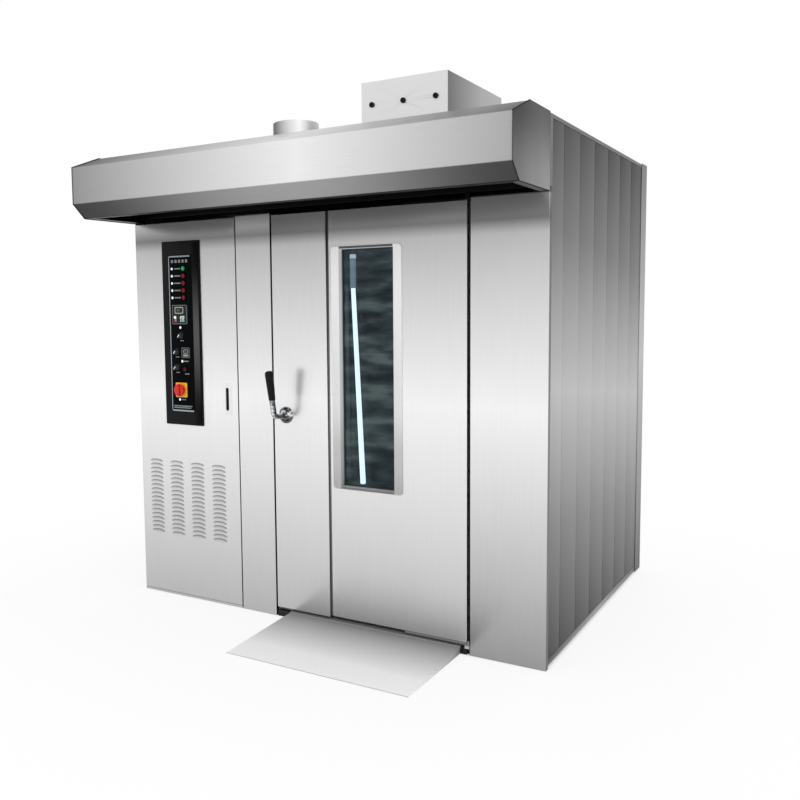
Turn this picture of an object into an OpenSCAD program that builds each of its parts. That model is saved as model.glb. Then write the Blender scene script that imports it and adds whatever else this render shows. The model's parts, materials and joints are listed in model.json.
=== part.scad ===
// Rotating rack oven: insulated chamber with a hung, turning rack, service cabinet and steam hood.
// Origin: centre of the body's base, on the ground. +Z up, the door side faces -Y.
// Places are given as [from the left side, behind the front face, above the ground].

/* [Body] */
// Width of the body
body_w = 2190; // [2000:10:2700]
// Depth of the body, without hood and ramp
body_d = 1650; // [1450:10:2100]
// Height of the body's roof
body_h = 2220; // [2160:10:2700]
// Width of the service cabinet, to the middle of its seam
cabinet_w = 650; // [560:5:780]
// Width of the post between cabinet and door, seam to seam
latch_post_w = 208; // [180:2:260]
// Thickness of the outer sheets
sheet_t = 2; // [1:0.5:3]
// Depth of the sheets' folded edges
fold_d = 20; // [12:1:24]
// Height of the chamber floor above the ground
floor_h = 30; // [26:1:40]
// Thickness of the insulation
wool_t = 100; // [70:5:120]
// Width of each side sheet behind the first
side_pitch = 225; // [180:5:260]
// Width of the rear corner trims on the side
trim_w = 116; // [60:2:160]

/* [Door] */
// Width of the door opening in the front, seam to seam
door_w = 994; // [900:2:1150]
// Thickness of the door
door_t = 100; // [88:2:140]
// Height of the door's top edge
door_top = 1912; // [1800:2:1960]
// Height of the door's lower edge above the ground
door_foot = 45; // [42:1:55]
// Height of the arm plate under the hinge side
arm_t = 9; // [6:1:10]
// Width of the door's latch strip
strip_w = 310; // [280:2:360]
// Gap beside the service door
gap_cabinet = 7; // [4:0.5:10]
// Gap on the door's latch side
gap_latch = 8; // [5:0.5:12]
// Width of the groove in the door
gap_strip = 14; // [8:1:18]
// Gap on the door's hinge side
gap_hinge = 14; // [14:1:18]
// Radius of the hinge pins
pin_r = 4.5; // [3.5:0.25:5]
// Radial clearance of pins, stems and shafts
running = 0.05; // [0.02:0.01:0.1]
// Distance from the latch seam to the window frame
window_from_latch = 332; // [320:1:345]
// Width of the window frame
window_w = 355; // [300:5:420]
// Height of the window frame
window_h = 1093; // [900:5:1200]
// Height of the window frame's lower edge
window_z = 659; // [550:5:720]
// Width of the window frame's upright bars
window_bar = 41; // [30:1:60]
// Height of the window frame's cross bars
window_rail = 12; // [8:1:30]
// Corner radius of the window frame
window_r = 16; // [4:1:24]
// Diameter of the door lamp's tube
lamp_d = 25; // [16:1:30]

/* [Handle] */
// Distance of the handle from the latch seam
handle_from_latch = 72; // [60:1:110]
// Height of the handle's spindle
handle_z = 981; // [850:1:1150]
// Diameter of the handle's rose
rose_d = 78; // [64:1:90]
// Diameter of the handle's arm
arm_d = 26; // [20:1:28]
// Radius of the arm's bend
bend_r = 28; // [22:1:36]
// Lean of the raised handle away from the door, in degrees
handle_lean = 9.5; // [0:0.5:15]
// Length of the grip
grip_len = 135; // [100:5:160]
// Travel of the latch bolt for a quarter turn
bolt_travel = 18.85; // [15:0.05:22]

/* [Hood] */
// How far the hood stands out in front of the body
hood_out = 405; // [300:5:520]
// Depth of the hood's flat top
hood_flat = 232; // [230:2:320]
// Depth to the hood's lower lip
hood_lip_out = 337; // [240:1:500]
// Gap between the hood's lower edge and the top of the door's arm
hood_clear = 2; // [1:1:6]
// Height of the hood's upper slope
hood_slope_top = 65; // [40:1:90]
// Height of the hood's lower slope
hood_slope_low = 62; // [40:1:90]
// Width of the inward lip
hood_lip = 40; // [20:1:60]
// Radius of the vent collar
vent_r = 100; // [80:1:110]
// Height of the vent collar
vent_h = 60; // [40:1:100]
// Distance of the vent collar from the left side
vent_x = 1092; // [900:1:1200]
// Wall of the vent collar
vent_t = 1.5; // [1:0.5:3]

/* [Roof box] */
// Width of the extractor box
xbox_w = 387; // [340:1:440]
// Depth of the extractor box
xbox_d = 577; // [500:1:640]
// Height of the extractor box
xbox_h = 180; // [170:1:220]
// Distance of the extractor box from the hinge seam's left
xbox_from_seam = 415; // [400:1:460]
// How far the extractor box reaches over the hood
xbox_over = 144; // [120:1:170]
// Inner radius of the extractor's outlet
outlet_r = 74; // [60:1:78]

/* [Ramp] */
// Length of the ramp in front of the body
ramp_len = 490; // [400:5:700]
// Width of the ramp
ramp_w = 880; // [700:5:900]
// Thickness of the ramp's plate
ramp_t = 3; // [2:0.5:4]
// Distance of the ramp's hook from the latch seam
hook_from_latch = 77; // [60:1:110]
// Distance of the ramp's hook from the hinge seam
hook_from_hinge = 37; // [25:1:60]

/* [Control panel] */
// Distance of the control panel from the left side
panel_x = 191; // [120:1:240]
// Width of the control panel
panel_w = 240; // [220:1:280]
// Height of the control panel
panel_h = 922; // [880:1:960]
// Height of the control panel's lower edge
panel_z = 898; // [800:1:940]
// How far the panel housing stands out
panel_out = 12; // [8:1:20]
// Width of the instrument plate
plate_w = 150; // [145:1:155]
// Distance of the instrument plate from the panel's left edge
plate_from_left = 42; // [30:1:60]
// Travel of the push buttons
button_travel = 4; // [2:0.5:5]
// Distance between the push buttons
button_pitch = 36; // [34:1:38]
// Louvres in a column
louvre_rows = 18; // [10:1:19]
// Columns of louvres
louvre_cols = 4; // [2:1:4]
// Width of one louvre
louvre_w = 84; // [60:1:100]

/* [Chamber and drive] */
// Depth of the narrower air duct beside the chamber
duct_w = 72; // [60:1:90]
// Height of the chamber's ceiling
ceiling_z = 2040; // [1980:5:2060]
// Radius of the rotor shaft
rotor_r = 20; // [15:1:25]
// Length of the rack hanger's beam
hanger_len = 700; // [500:10:900]
// Radius of the circulation fan
fan_r = 200; // [150:5:220]
// Radius of the water inlet
pipe_r = 10.65; // [10:0.05:13]
// Length of the water inlet above its collar
inlet_h = 50; // [30:5:80]
// Radius of the water pipe below the inlet
riser_r = 8; // [6:0.5:9]

/* [Hidden] */
$fn = 64;

// Overlap that makes a cut go right through
cut = 1;
// Gap between pieces that are seated on each other
seat = 0.3;
liner_t = 2;
skin_inset = 2;
trim_t = 1.7;
roof_fold = 18;
stainless = "#c9cccd";
chrome = "#e6e8ea";
dark_steel = "#7f8486";
black = "#191a1c";
wool = "#c8b77e";
silicone = "#5a2f28";

// Seams of the front, from the left side
seam_cabinet = cabinet_w;
seam_latch = seam_cabinet + latch_post_w;
seam_strip = seam_latch + strip_w;
seam_hinge = seam_latch + door_w;
door_x0 = seam_latch + gap_latch / 2;
door_x1 = seam_hinge - gap_hinge / 2;
door_mid = (seam_latch + seam_hinge) / 2;
door_core_z = door_foot - 1 + arm_t;

// Heights and depths inside
floor_plate_t = 4;
post_top = door_top + 26;
service_top = door_top + 3;
hood_low = door_top + arm_t + hood_clear;
hanger_top = ceiling_z - 110;
baffle_z = ceiling_z - 340;
post_d = door_t + 6;
frame_t = 20;
frame_d1 = post_d + seat + frame_t;
inner_x1 = body_w - skin_inset - fold_d - 2;
inner_x0 = body_w - inner_x1;
inner_d1 = body_d - skin_inset - fold_d - 2;
rear_wool_d = inner_d1 - wool_t;
roof_low = body_h - roof_fold;
left_wool_t = 70;
left_liner_x = seam_cabinet + 4 + left_wool_t + 2;
right_liner_x = inner_x1 - wool_t - liner_t;
chamber_half = min(door_mid - left_liner_x - liner_t, right_liner_x - door_mid) - duct_w - liner_t;
chamber_x0 = door_mid - chamber_half;
chamber_x1 = door_mid + chamber_half;
jamb_lap = 42;
head_z = door_top - 32;
bulkhead_d = 400;
first_side_d = 30;

// Shafts through the roof, as [from the left side, depth, radius of the hole]
rotor_at = [door_mid, (frame_d1 + rear_wool_d) / 2];
fan_at = [cabinet_w / 2, (bulkhead_d + rear_wool_d) / 2];
pipe_at = [cabinet_w - 90, rear_wool_d - 46];
shafts = [[rotor_at[0], rotor_at[1], rotor_r + 10], [fan_at[0], fan_at[1], 20],
          [pipe_at[0], pipe_at[1], pipe_r + 2]];

// Air passages between heater and chamber: their depths, and the lower and the upper one's heights
passage_d = [bulkhead_d + 200, rear_wool_d - 126];
passage_z = [[120, 420], [ceiling_z - 280, ceiling_z - 80]];

// Window opening
win_x0 = seam_latch + window_from_latch;
win_x1 = win_x0 + window_w;
win_z1 = window_z + window_h;
hole_x0 = win_x0 + window_bar;
hole_x1 = win_x1 - window_bar;
hole_z0 = window_z + window_rail;
hole_z1 = win_z1 - window_rail;
lining_t = 2;
pane_t = 5;
pane_out_d = 30;
pane_in_d = door_t - 16;
seal_t = 4;
seal_w = 6;

// Handle
handle_x = seam_latch + handle_from_latch;
spindle_r = 8;
grip_start = 86;
// The bend's middle, in front of the rose and above the spindle
bend_d = -72;
// The handle's pinion drives the bolt, whose rack runs below it
pinion_r = bolt_travel * 2 / PI;
bolt_h = 14;
bolt_d = [door_t / 2, door_t / 2 + 14];
bolt_z = handle_z - pinion_r - seat - bolt_h;
lug_r = gap_hinge / 2 - seat;

// Hood profile, depth and height, from the body's front round to the lower lip
hood_line = [[0, body_h], [-hood_flat, body_h], [-hood_out, body_h - hood_slope_top],
             [-hood_out, hood_low + hood_slope_low], [-hood_lip_out, hood_low],
             [-hood_lip_out + hood_lip, hood_low]];
vent_d = -hood_flat / 2 - 2;
// The damper turns far enough down that its open blade stays in the collar
damper_z = body_h + vent_h - vent_r;
damper_r = vent_r - 7;
spindle_out = 18;

// Extractor box
xbox_x0 = seam_hinge - xbox_from_seam;
xbox_x1 = xbox_x0 + xbox_w;
xbox_d1 = xbox_d - xbox_over;
xbox_top = body_h + xbox_h;
xfan_x = (xbox_x0 + xbox_x1) / 2;
xfan_z = body_h + xbox_h / 2;
xfan_ring_d = 120;

// Control panel
plate_x0 = panel_x + plate_from_left;
plate_face = -panel_out - 2;
stem_r = 5;
// Middles of the controls, as [from the left side, height]
button_at = [for (i = [4 : -1 : 0]) [plate_x0 + 103, panel_z + 641 + i * button_pitch]];
stop_at = [plate_x0 + 100, panel_z + 283];
selector_at = [[plate_x0 + 75, panel_z + 451], [plate_x0 + 44, panel_z + 369],
               [plate_x0 + 44, panel_z + 291]];
isolator_at = [plate_x0 + 70, panel_z + 178];
controller_at = [plate_x0 + 71, panel_z + 557];
timer_at = [plate_x0 + 105, panel_z + 365];
lens_at = concat([for (p = button_at) [plate_x0 + 24.5, p[1]]],
                 [[plate_x0 + 71, panel_z + 492], [plate_x0 + 78, panel_z + 323],
                  [plate_x0 + 56, panel_z + 129]]);

// Plates on the roof that are bolted down, and their bolts' distance from the middle
bearing_bolts = 58;
bearing_t = 12;
motor_bolts = 110;
motor_t = 8;

function corners(p, r) = [for (x = [-r, r], y = [-r, r]) [p[0] + x, p[1] + y]];
function fx(v) = v - body_w / 2;
function fy(v) = v - body_d / 2;
function unit(v) = v / norm(v);
function inward(a, b) = let (u = unit(b - a)) [-u[1], u[0]];
// Point i of a bent line, moved t to its left, mitred at the bends
function shifted(line, i, t) =
    let (n = len(line) - 1)
    let (before = inward(line[max(i, 1) - 1], line[max(i, 1)]))
    let (after = inward(line[min(i, n - 1)], line[min(i, n - 1) + 1]))
    line[i] + t * (before + after) / (1 + before * after);

module at(p) {
    translate([fx(p[0]), fy(p[1]), p[2]])
        children();
}

// Box between two corners
module block(a, b) {
    at(a)
        cube(b - a);
}

// Folded sheet: a box with walls only on the sides marked 1
module pan(a, b, low, high, t = sheet_t) {
    difference() {
        block(a, b);
        block(a + [for (s = low) s == 1 ? t : -cut], b - [for (s = high) s == 1 ? t : -cut]);
    }
}

// Round bar along X, Y or Z from a point
module bar_z(p, r, h) {
    at(p)
        cylinder(r = r, h = h);
}

module bar_y(p, r, h, r2 = -1) {
    at(p)
        rotate([-90, 0, 0])
            cylinder(r1 = r, r2 = r2 < 0 ? r : r2, h = h);
}

module bar_x(p, r, h) {
    at(p)
        rotate([0, 90, 0])
            cylinder(r = r, h = h);
}

// Outline in depth and height, carried along X
module profile_x(x0, x1, points) {
    translate([fx(x0), fy(0), 0])
        rotate([90, 0, 90])
            linear_extrude(x1 - x0)
                polygon(points);
}

// Upright plate with rounded corners, from depth d0 to d1
module round_plate(x0, x1, z0, z1, d0, d1, r) {
    at([x0, d1, z0])
        rotate([90, 0, 0])
            linear_extrude(d1 - d0)
                union() {
                    translate([r, 0])
                        square([x1 - x0 - 2 * r, z1 - z0]);
                    translate([0, r])
                        square([x1 - x0, z1 - z0 - 2 * r]);
                    for (x = [r, x1 - x0 - r], z = [r, z1 - z0 - r])
                        translate([x, z])
                            circle(r);
                }
}

module shaft_holes(z0, z1) {
    for (s = shafts)
        bar_z([s[0], s[1], z0 - cut], s[2], z1 - z0 + 2 * cut);
}

// Air passages cut through a wall
module passage_holes(x0, x1) {
    for (z = passage_z)
        block([x0 - cut, passage_d[0], z[0]], [x1 + cut, passage_d[1], z[1]]);
}

// Upright wall of flat sheets, which leave the air passages open
module passage_wall(x0, x1, d0, d1) {
    z1 = ceiling_z - seat;
    for (d = [[d0, passage_d[0]], [passage_d[1], d1]])
        block([x0, d[0], floor_h], [x1, d[1], z1]);
    for (z = [[floor_h, passage_z[0][0]], [passage_z[0][1], passage_z[1][0]], [passage_z[1][1], z1]])
        block([x0, passage_d[0] + seat, z[0]], [x1, passage_d[1] - seat, z[1]]);
}

// ---- Floor and casing ----

module floor_pan() {
    color(dark_steel)
        pan([inner_x0, inner_x0, 0], [inner_x1, inner_d1, floor_h - floor_plate_t],
            [1, 1, 1], [1, 1, 0]);
}

module chamber_floor() {
    color(stainless)
        block([inner_x0, inner_x0, floor_h - floor_plate_t], [inner_x1, inner_d1, floor_h]);
}

module ramp() {
    mid = door_mid + 20;
    x0 = mid - ramp_w / 2;
    x1 = mid + ramp_w / 2;
    top = floor_h - 2;
    rib_w = 10;
    color(stainless) {
        profile_x(x0, x1, [[-ramp_len, 0], [-ramp_len, ramp_t - 1], [-2, top], [-2, top - ramp_t],
                           [-ramp_len * ramp_t / top - ramp_len * 0.8, 0]]);
        profile_x(max(x0, seam_latch + hook_from_latch), min(x1, seam_hinge - hook_from_hinge),
                  [[-3, top - ramp_t + 0.2], [-3, top - 0.3], [-2, top - 0.3], [-2, floor_h + 2.2],
                   [14, floor_h + 2.2], [14, floor_h + 0.2], [1.5, floor_h + 0.2],
                   [1.5, top - ramp_t], [-2, top - ramp_t], [-2, top - ramp_t + 0.2]]);
        for (x = [x0, mid - rib_w / 2, x1 - rib_w])
            profile_x(x, x + rib_w, [[-ramp_len * 0.85, 0], [-2, 0], [-2, top - 1]]);
    }
}

module side_sheet(side, d0, d1) {
    outer = side < 0 ? skin_inset : body_w - skin_inset - fold_d;
    pan([outer, d0 + 1, 12], [outer + fold_d, d1 - 1, roof_low - seat],
        [side < 0 ? 1 : 0, 1, 1], [side < 0 ? 0 : 1, 1, 1]);
}

module side_sheets() {
    last = body_d - trim_w;
    count = max(1, round((last - first_side_d) / side_pitch) - 1);
    first_w = (last - first_side_d) - count * side_pitch;
    edges = [first_side_d, for (i = [0 : count]) first_side_d + first_w + i * side_pitch];
    color(stainless)
        for (side = [-1, 1]) {
            for (i = [0 : count])
                side_sheet(side, edges[i], edges[i + 1]);
            side_sheet(side, last, body_d - 3);
        }
}

module rear_sheets() {
    count = 8;
    x0 = skin_inset + fold_d + 2;
    w = (body_w - 2 * x0) / count;
    d1 = body_d - skin_inset;
    color(stainless)
        for (i = [0 : count - 1])
            pan([x0 + i * w + 1, d1 - fold_d, 12], [x0 + (i + 1) * w - 1, d1, roof_low - seat],
                [1, 0, 1], [1, 1, 1]);
}

module corner_trims() {
    leg = 60;
    h = body_h + 4;
    color(stainless)
        for (side = [0, 1]) {
            x0 = side == 0 ? 0 : body_w - trim_t;
            x1 = side == 0 ? 0 : body_w - leg;
            block([x0, body_d - trim_w, 0], [x0 + trim_t, body_d, h]);
            block([x1, body_d - trim_t, 0], [x1 + leg, body_d, h]);
        }
}

module roof_sheets() {
    edges = [skin_inset, cabinet_w, door_mid + 65, body_w - skin_inset];
    color(stainless)
        difference() {
            for (i = [0 : 2])
                pan([edges[i] + (i == 0 ? 0 : 1), 0, roof_low],
                    [edges[i + 1] - (i == 2 ? 0 : 1), body_d - skin_inset, body_h],
                    [1, 1, 0], [1, 1, 1]);
            shaft_holes(roof_low, body_h);
        }
}

module insulation() {
    top = ceiling_z - seat;
    color(wool) {
        block([inner_x0 + 4, inner_x0 + 4, sheet_t + seat],
              [inner_x1 - 4, inner_d1 - 4, floor_h - floor_plate_t - seat]);
        block([right_liner_x + liner_t + seat, frame_d1 + 2, floor_h + seat],
              [inner_x1 - seat, rear_wool_d - seat, top]);
        block([seam_hinge + gap_hinge / 2 + 4, 30, floor_h + seat],
              [inner_x1 - seat, post_d - 2, post_top - 10]);
        block([inner_x0 + seat, rear_wool_d + seat, floor_h + seat],
              [inner_x1 - seat, inner_d1 - seat, roof_low - 2]);
        difference() {
            block([seam_cabinet + 4, post_d + 2, floor_h + seat],
                  [left_liner_x - seat, rear_wool_d - seat, top]);
            passage_holes(seam_cabinet, left_liner_x);
        }
        difference() {
            block([seam_cabinet + 4, 32, ceiling_z + liner_t + seat],
                  [inner_x1 - seat, rear_wool_d - seat, roof_low - 2]);
            shaft_holes(ceiling_z, roof_low);
        }
        difference() {
            block([inner_x0 + seat, bulkhead_d + 6, ceiling_z + liner_t + seat],
                  [seam_cabinet - 4, rear_wool_d - seat, roof_low - 2]);
            shaft_holes(ceiling_z, roof_low);
        }
        block([inner_x0 + seat, bulkhead_d + 6, floor_h + seat],
              [inner_x0 + 50, rear_wool_d - seat, top]);
    }
}

module chamber_liner() {
    d0 = frame_d1 + 2;
    d1 = rear_wool_d - seat;
    color(stainless) {
        passage_wall(left_liner_x, left_liner_x + liner_t, d0, d1);
        block([right_liner_x, d0, floor_h], [right_liner_x + liner_t, d1, ceiling_z - seat]);
        block([left_liner_x + liner_t + seat, d1 - liner_t, floor_h],
              [right_liner_x - seat, d1, ceiling_z - seat]);
        difference() {
            block([left_liner_x, frame_d1 - frame_t, ceiling_z],
                  [right_liner_x + liner_t, d1, ceiling_z + liner_t]);
            shaft_holes(ceiling_z, ceiling_z + liner_t);
        }
        difference() {
            block([inner_x0 + 50, bulkhead_d + 6, ceiling_z],
                  [seam_cabinet - 4, d1, ceiling_z + liner_t]);
            shaft_holes(ceiling_z, ceiling_z + liner_t);
        }
    }
}

module duct_wall(x0) {
    slot_h = 12;
    slot_w = 380;
    rows = 14;
    d0 = frame_d1 + 2;
    d1 = rear_wool_d - 4;
    pitch = (ceiling_z - 300) / rows;
    step = (d1 - d0) / 3;
    difference() {
        block([x0, d0, floor_h], [x0 + liner_t, d1, ceiling_z - seat]);
        for (i = [0 : rows - 1], j = [0 : 2])
            block([x0 - cut, d0 + (j + 0.5) * step - slot_w / 2, 160 + i * pitch],
                  [x0 + liner_t + cut, d0 + (j + 0.5) * step + slot_w / 2, 160 + i * pitch + slot_h]);
    }
}

module duct_walls() {
    color(stainless) {
        duct_wall(chamber_x0 - liner_t);
        duct_wall(chamber_x1);
    }
}

module door_frame() {
    d0 = post_d + seat;
    latch_x = seam_latch + jamb_lap;
    hinge_x = seam_hinge - jamb_lap;
    sill_x0 = seam_latch + 4;
    sill_x1 = seam_hinge - 9;
    strike_h = 90;
    color(stainless) {
        block([left_liner_x, d0, floor_h], [latch_x, frame_d1, ceiling_z - seat]);
        block([hinge_x, d0, floor_h], [right_liner_x + liner_t, frame_d1, ceiling_z - seat]);
        block([latch_x + seat, d0, head_z], [hinge_x - seat, frame_d1, ceiling_z - seat]);
        block([sill_x0, 2, 0], [sill_x1, inner_x0 - seat, floor_h]);
        difference() {
            block([seam_latch - gap_latch / 2, bolt_d[0] - 10, handle_z - strike_h / 2],
                  [seam_latch - gap_latch / 2 + sheet_t, bolt_d[1] + 10, handle_z + strike_h / 2]);
            bolt_way(seam_latch - gap_latch, seam_latch, seat);
        }
    }
}

module partitions() {
    d1 = rear_wool_d - 4;
    color(stainless) {
        passage_wall(seam_cabinet, seam_cabinet + liner_t, first_side_d, d1);
        block([inner_x0, bulkhead_d, floor_h], [seam_cabinet - seat, bulkhead_d + 2, roof_low - 2]);
        difference() {
            block([inner_x0 + 51, bulkhead_d + 8, baffle_z], [seam_cabinet - seat, d1, baffle_z + 2]);
            bar_z([fan_at[0], fan_at[1], baffle_z - cut], fan_r * 0.75, 2 + 2 * cut);
            bar_z([pipe_at[0], pipe_at[1], baffle_z - cut], pipe_r + 2, 2 + 2 * cut);
        }
    }
}

// ---- Front ----

// Room that the posts leave for the floor
module over_floor() {
    block([-cut, inner_x0 - seat, -cut], [inner_x1 + seat, post_d + cut, floor_h + seat]);
}

module left_post() {
    x1 = seam_latch - gap_latch / 2;
    color(stainless)
        difference() {
            pan([seam_cabinet + gap_cabinet / 2, 0, 0], [x1, post_d, post_top], [1, 1, 1], [1, 0, 1]);
            bolt_way(x1 - sheet_t - cut, x1 + cut, seat);
            over_floor();
        }
}

module right_post() {
    x0 = seam_hinge + gap_hinge / 2;
    corner_d = first_side_d - 2;
    color(stainless)
        difference() {
            union() {
                pan([x0, 0, 0], [body_w, corner_d, post_top], [1, 1, 1], [1, 0, 1]);
                block([x0, corner_d - sheet_t, 0], [x0 + sheet_t, post_d, post_top]);
            }
            over_floor();
        }
}

module front_header() {
    color(stainless)
        pan([0, 0, post_top + 2], [body_w, first_side_d - 2, roof_low], [1, 1, 1], [1, 0, 1]);
}

module hood_shell() {
    bend_line = [for (i = [0 : len(hood_line) - 1]) shifted(hood_line, i, sheet_t)];
    back = [for (i = [len(bend_line) - 1 : -1 : 0]) bend_line[i]];
    side = concat([for (i = [0 : 4]) hood_line[i]], [[0, hood_low]]);
    color(stainless)
        difference() {
            union() {
                profile_x(sheet_t / 2, body_w - sheet_t / 2, concat(hood_line, back));
                profile_x(0, sheet_t, side);
                profile_x(body_w - sheet_t, body_w, side);
                for (x = [sheet_t / 2, body_w - sheet_t / 2 - hood_lip])
                    block([x, hood_lip - hood_lip_out - 1, hood_low], [x + hood_lip, -1, hood_low + sheet_t]);
            }
            block([xbox_x0 + 20, -xbox_over + 14, body_h - 10],
                  [xbox_x1 - 20, -20, body_h + cut]);
            bar_z([vent_x, vent_d, body_h - 10], vent_r - 2, 20);
        }
}

module roof_box() {
    d0 = -xbox_over;
    flange = 15;
    outlet_t = 2;
    color(stainless)
        difference() {
            union() {
                pan([xbox_x0, d0, body_h], [xbox_x1, xbox_d1, xbox_top], [1, 1, 0], [1, 1, 1]);
                block([xbox_x0 - flange, d0 + 4, body_h], [xbox_x0 + 1, xbox_d1, body_h + 2]);
                block([xbox_x1 - 1, d0 + 4, body_h], [xbox_x1 + flange, xbox_d1, body_h + 2]);
                block([xbox_x0 + 1, xfan_ring_d, body_h], [xbox_x1 - 1, xfan_ring_d + 3, xbox_top - 1]);
                bar_y([xfan_x, xbox_d1 - 1, xfan_z], outlet_r + outlet_t, 46);
            }
            bar_y([xfan_x, xbox_d1 - 10, xfan_z], outlet_r, 80);
            bar_y([xfan_x, xfan_ring_d - 5, xfan_z], outlet_r, 20);
            for (i = [-1 : 1])
                bar_y([xfan_x + i * (xbox_w / 2 - 50), d0 - cut, body_h + 87], 6, 10);
        }
}

module box_bolt(i) {
    x = xfan_x + i * (xbox_w / 2 - 50);
    z = body_h + 87;
    difference() {
        union() {
            bar_y([x, -xbox_over - 6, z], 11, 6);
            bar_y([x, -xbox_over - 1, z], 5.9, 16);
        }
        at([x, -xbox_over - 2, z])
            rotate([90, 0, 0])
                cylinder(r = 5, h = 10, $fn = 6);
    }
}

// Cap bolt through a plate of thickness t that lies on the roof
module plate_bolt(p, t) {
    bar_z([p[0], p[1], body_h + t], 10, 8);
    bar_z([p[0], p[1], body_h + 0.5], 5.9, t);
}

module roof_bolts() {
    color(black) {
        for (i = [-1 : 1])
            box_bolt(i);
        for (p = corners(rotor_at, bearing_bolts))
            plate_bolt(p, bearing_t);
        for (p = corners(fan_at, motor_bolts))
            plate_bolt(p, motor_t);
    }
}

module extractor_fan() {
    blades = 5;
    d0 = xfan_ring_d - 12;
    color(black) {
        difference() {
            bar_y([xfan_x, d0, xfan_z], 24, 30);
            bar_y([xfan_x, d0 + 6, xfan_z], 6 + running, 40);
        }
        at([xfan_x, d0 + 15, xfan_z])
            for (i = [0 : blades - 1])
                rotate([0, i * 360 / blades, 0])
                    translate([0, 0, 20])
                        rotate([0, 0, 32])
                            translate([-20, -1.5, 0])
                                cube([40, 3, outlet_r - 26]);
    }
}

module extractor_motor() {
    d0 = xfan_ring_d + 30;
    color(dark_steel) {
        bar_y([xfan_x, d0 - 34, xfan_z], 6, 36);
        bar_y([xfan_x, d0, xfan_z], 46, 110);
        block([xfan_x - 30, d0 + 10, body_h], [xfan_x + 30, d0 + 90, xfan_z - 30]);
        block([xfan_x - 60, d0 + 5, body_h], [xfan_x + 60, d0 + 95, body_h + 5]);
    }
}

module vent_collar() {
    outer = vent_r - 2 - seat;
    color(stainless)
        difference() {
            union() {
                bar_z([vent_x, vent_d, damper_z - vent_r], outer, vent_r + body_h - damper_z + 2);
                bar_z([vent_x, vent_d, body_h], vent_r, vent_h);
                bar_z([vent_x, vent_d, body_h], vent_r + 12, 2);
            }
            bar_z([vent_x, vent_d, damper_z - vent_r - cut], outer - vent_t, 2 * vent_r + 2 * cut);
            bar_x([vent_x - vent_r - cut, vent_d, damper_z], 4 + running, 2 * (vent_r + cut));
        }
}

module vent_damper() {
    lever = 60;
    out = vent_r + spindle_out;
    color(chrome) {
        bar_x([vent_x - out, vent_d, damper_z], 4, out + vent_r + 6);
        bar_z([vent_x, vent_d, damper_z - 1], damper_r, 2);
        block([vent_x - out, vent_d - 6, damper_z - lever], [vent_x - out + 5, vent_d + 6, damper_z + 6]);
    }
}

// ---- Rack drive and air ----

module rotor_shaft() {
    color(chrome)
        bar_z([rotor_at[0], rotor_at[1], hanger_top], rotor_r, body_h + 110 - hanger_top);
}

module rotor_bearing() {
    color(dark_steel)
        difference() {
            union() {
                block([rotor_at[0] - 75, rotor_at[1] - 75, body_h],
                      [rotor_at[0] + 75, rotor_at[1] + 75, body_h + bearing_t]);
                bar_z([rotor_at[0], rotor_at[1], body_h + bearing_t - 1], rotor_r + 32, 29);
            }
            bar_z([rotor_at[0], rotor_at[1], body_h - cut], rotor_r + running, 50);
            for (p = corners(rotor_at, bearing_bolts))
                bar_z([p[0], p[1], body_h - cut], 6, bearing_t + 2 * cut);
        }
}

module rotor_gearmotor() {
    x = rotor_at[0];
    d = rotor_at[1];
    z0 = body_h + 42;
    color("#4a6378")
        difference() {
            union() {
                block([x - 80, d - 70, z0], [x + 80, d + 90, z0 + 104]);
                block([x - 100, d - 60, body_h], [x - 79, d + 80, z0 + 20]);
                block([x + 79, d - 60, body_h], [x + 100, d + 80, z0 + 20]);
                bar_y([x, d + 89, z0 + 56], 62, 210);
                bar_y([x, d + 298, z0 + 56], 66, 30);
                block([x + 40, d + 130, z0 + 30], [x + 92, d + 230, z0 + 92]);
            }
            bar_z([x, d, z0 - cut], rotor_r + running, 90);
        }
}

module rack_hanger() {
    x = rotor_at[0];
    d = rotor_at[1];
    top = hanger_top;
    hook_l = 120;
    color(dark_steel)
        difference() {
            union() {
                bar_z([x, d, top - 12], 42, 12 + 40);
                block([x - hanger_len / 2, d - 30, top - 24], [x + hanger_len / 2, d + 30, top - 12]);
                for (side = [-1, 1])
                    block([x + side * (hanger_len / 2 - 30) - 30, d - hook_l / 2, top - 90],
                          [x + side * (hanger_len / 2 - 30) + 30, d + hook_l / 2, top - 23]);
            }
            bar_z([x, d, top], rotor_r + running, 60);
            for (side = [-1, 1])
                block([x + side * (hanger_len / 2 - 30) - 20, d - hook_l / 2 - cut, top - 78],
                      [x + side * (hanger_len / 2 - 30) + 20, d + hook_l / 2 - 12, top - 36]);
        }
}

module circulation_fan() {
    blades = 10;
    z0 = baffle_z + 40;
    h = 110;
    color(dark_steel) {
        bar_z([fan_at[0], fan_at[1], z0 + h], fan_r, 4);
        difference() {
            bar_z([fan_at[0], fan_at[1], z0], fan_r, 3);
            bar_z([fan_at[0], fan_at[1], z0 - cut], fan_r * 0.72, 6);
        }
        bar_z([fan_at[0], fan_at[1], z0 + h - 40], 28, 60);
        bar_z([fan_at[0], fan_at[1], z0 + h], 12, body_h + 78 - z0 - h);
        at([fan_at[0], fan_at[1], z0 + 2])
            for (i = [0 : blades - 1])
                rotate([0, 0, i * 360 / blades])
                    translate([fan_r * 0.76, 0, 0])
                        rotate([0, 0, 38])
                            translate([-fan_r * 0.06, -1.5, 0])
                                cube([fan_r * 0.24, 3, h]);
    }
}

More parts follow.
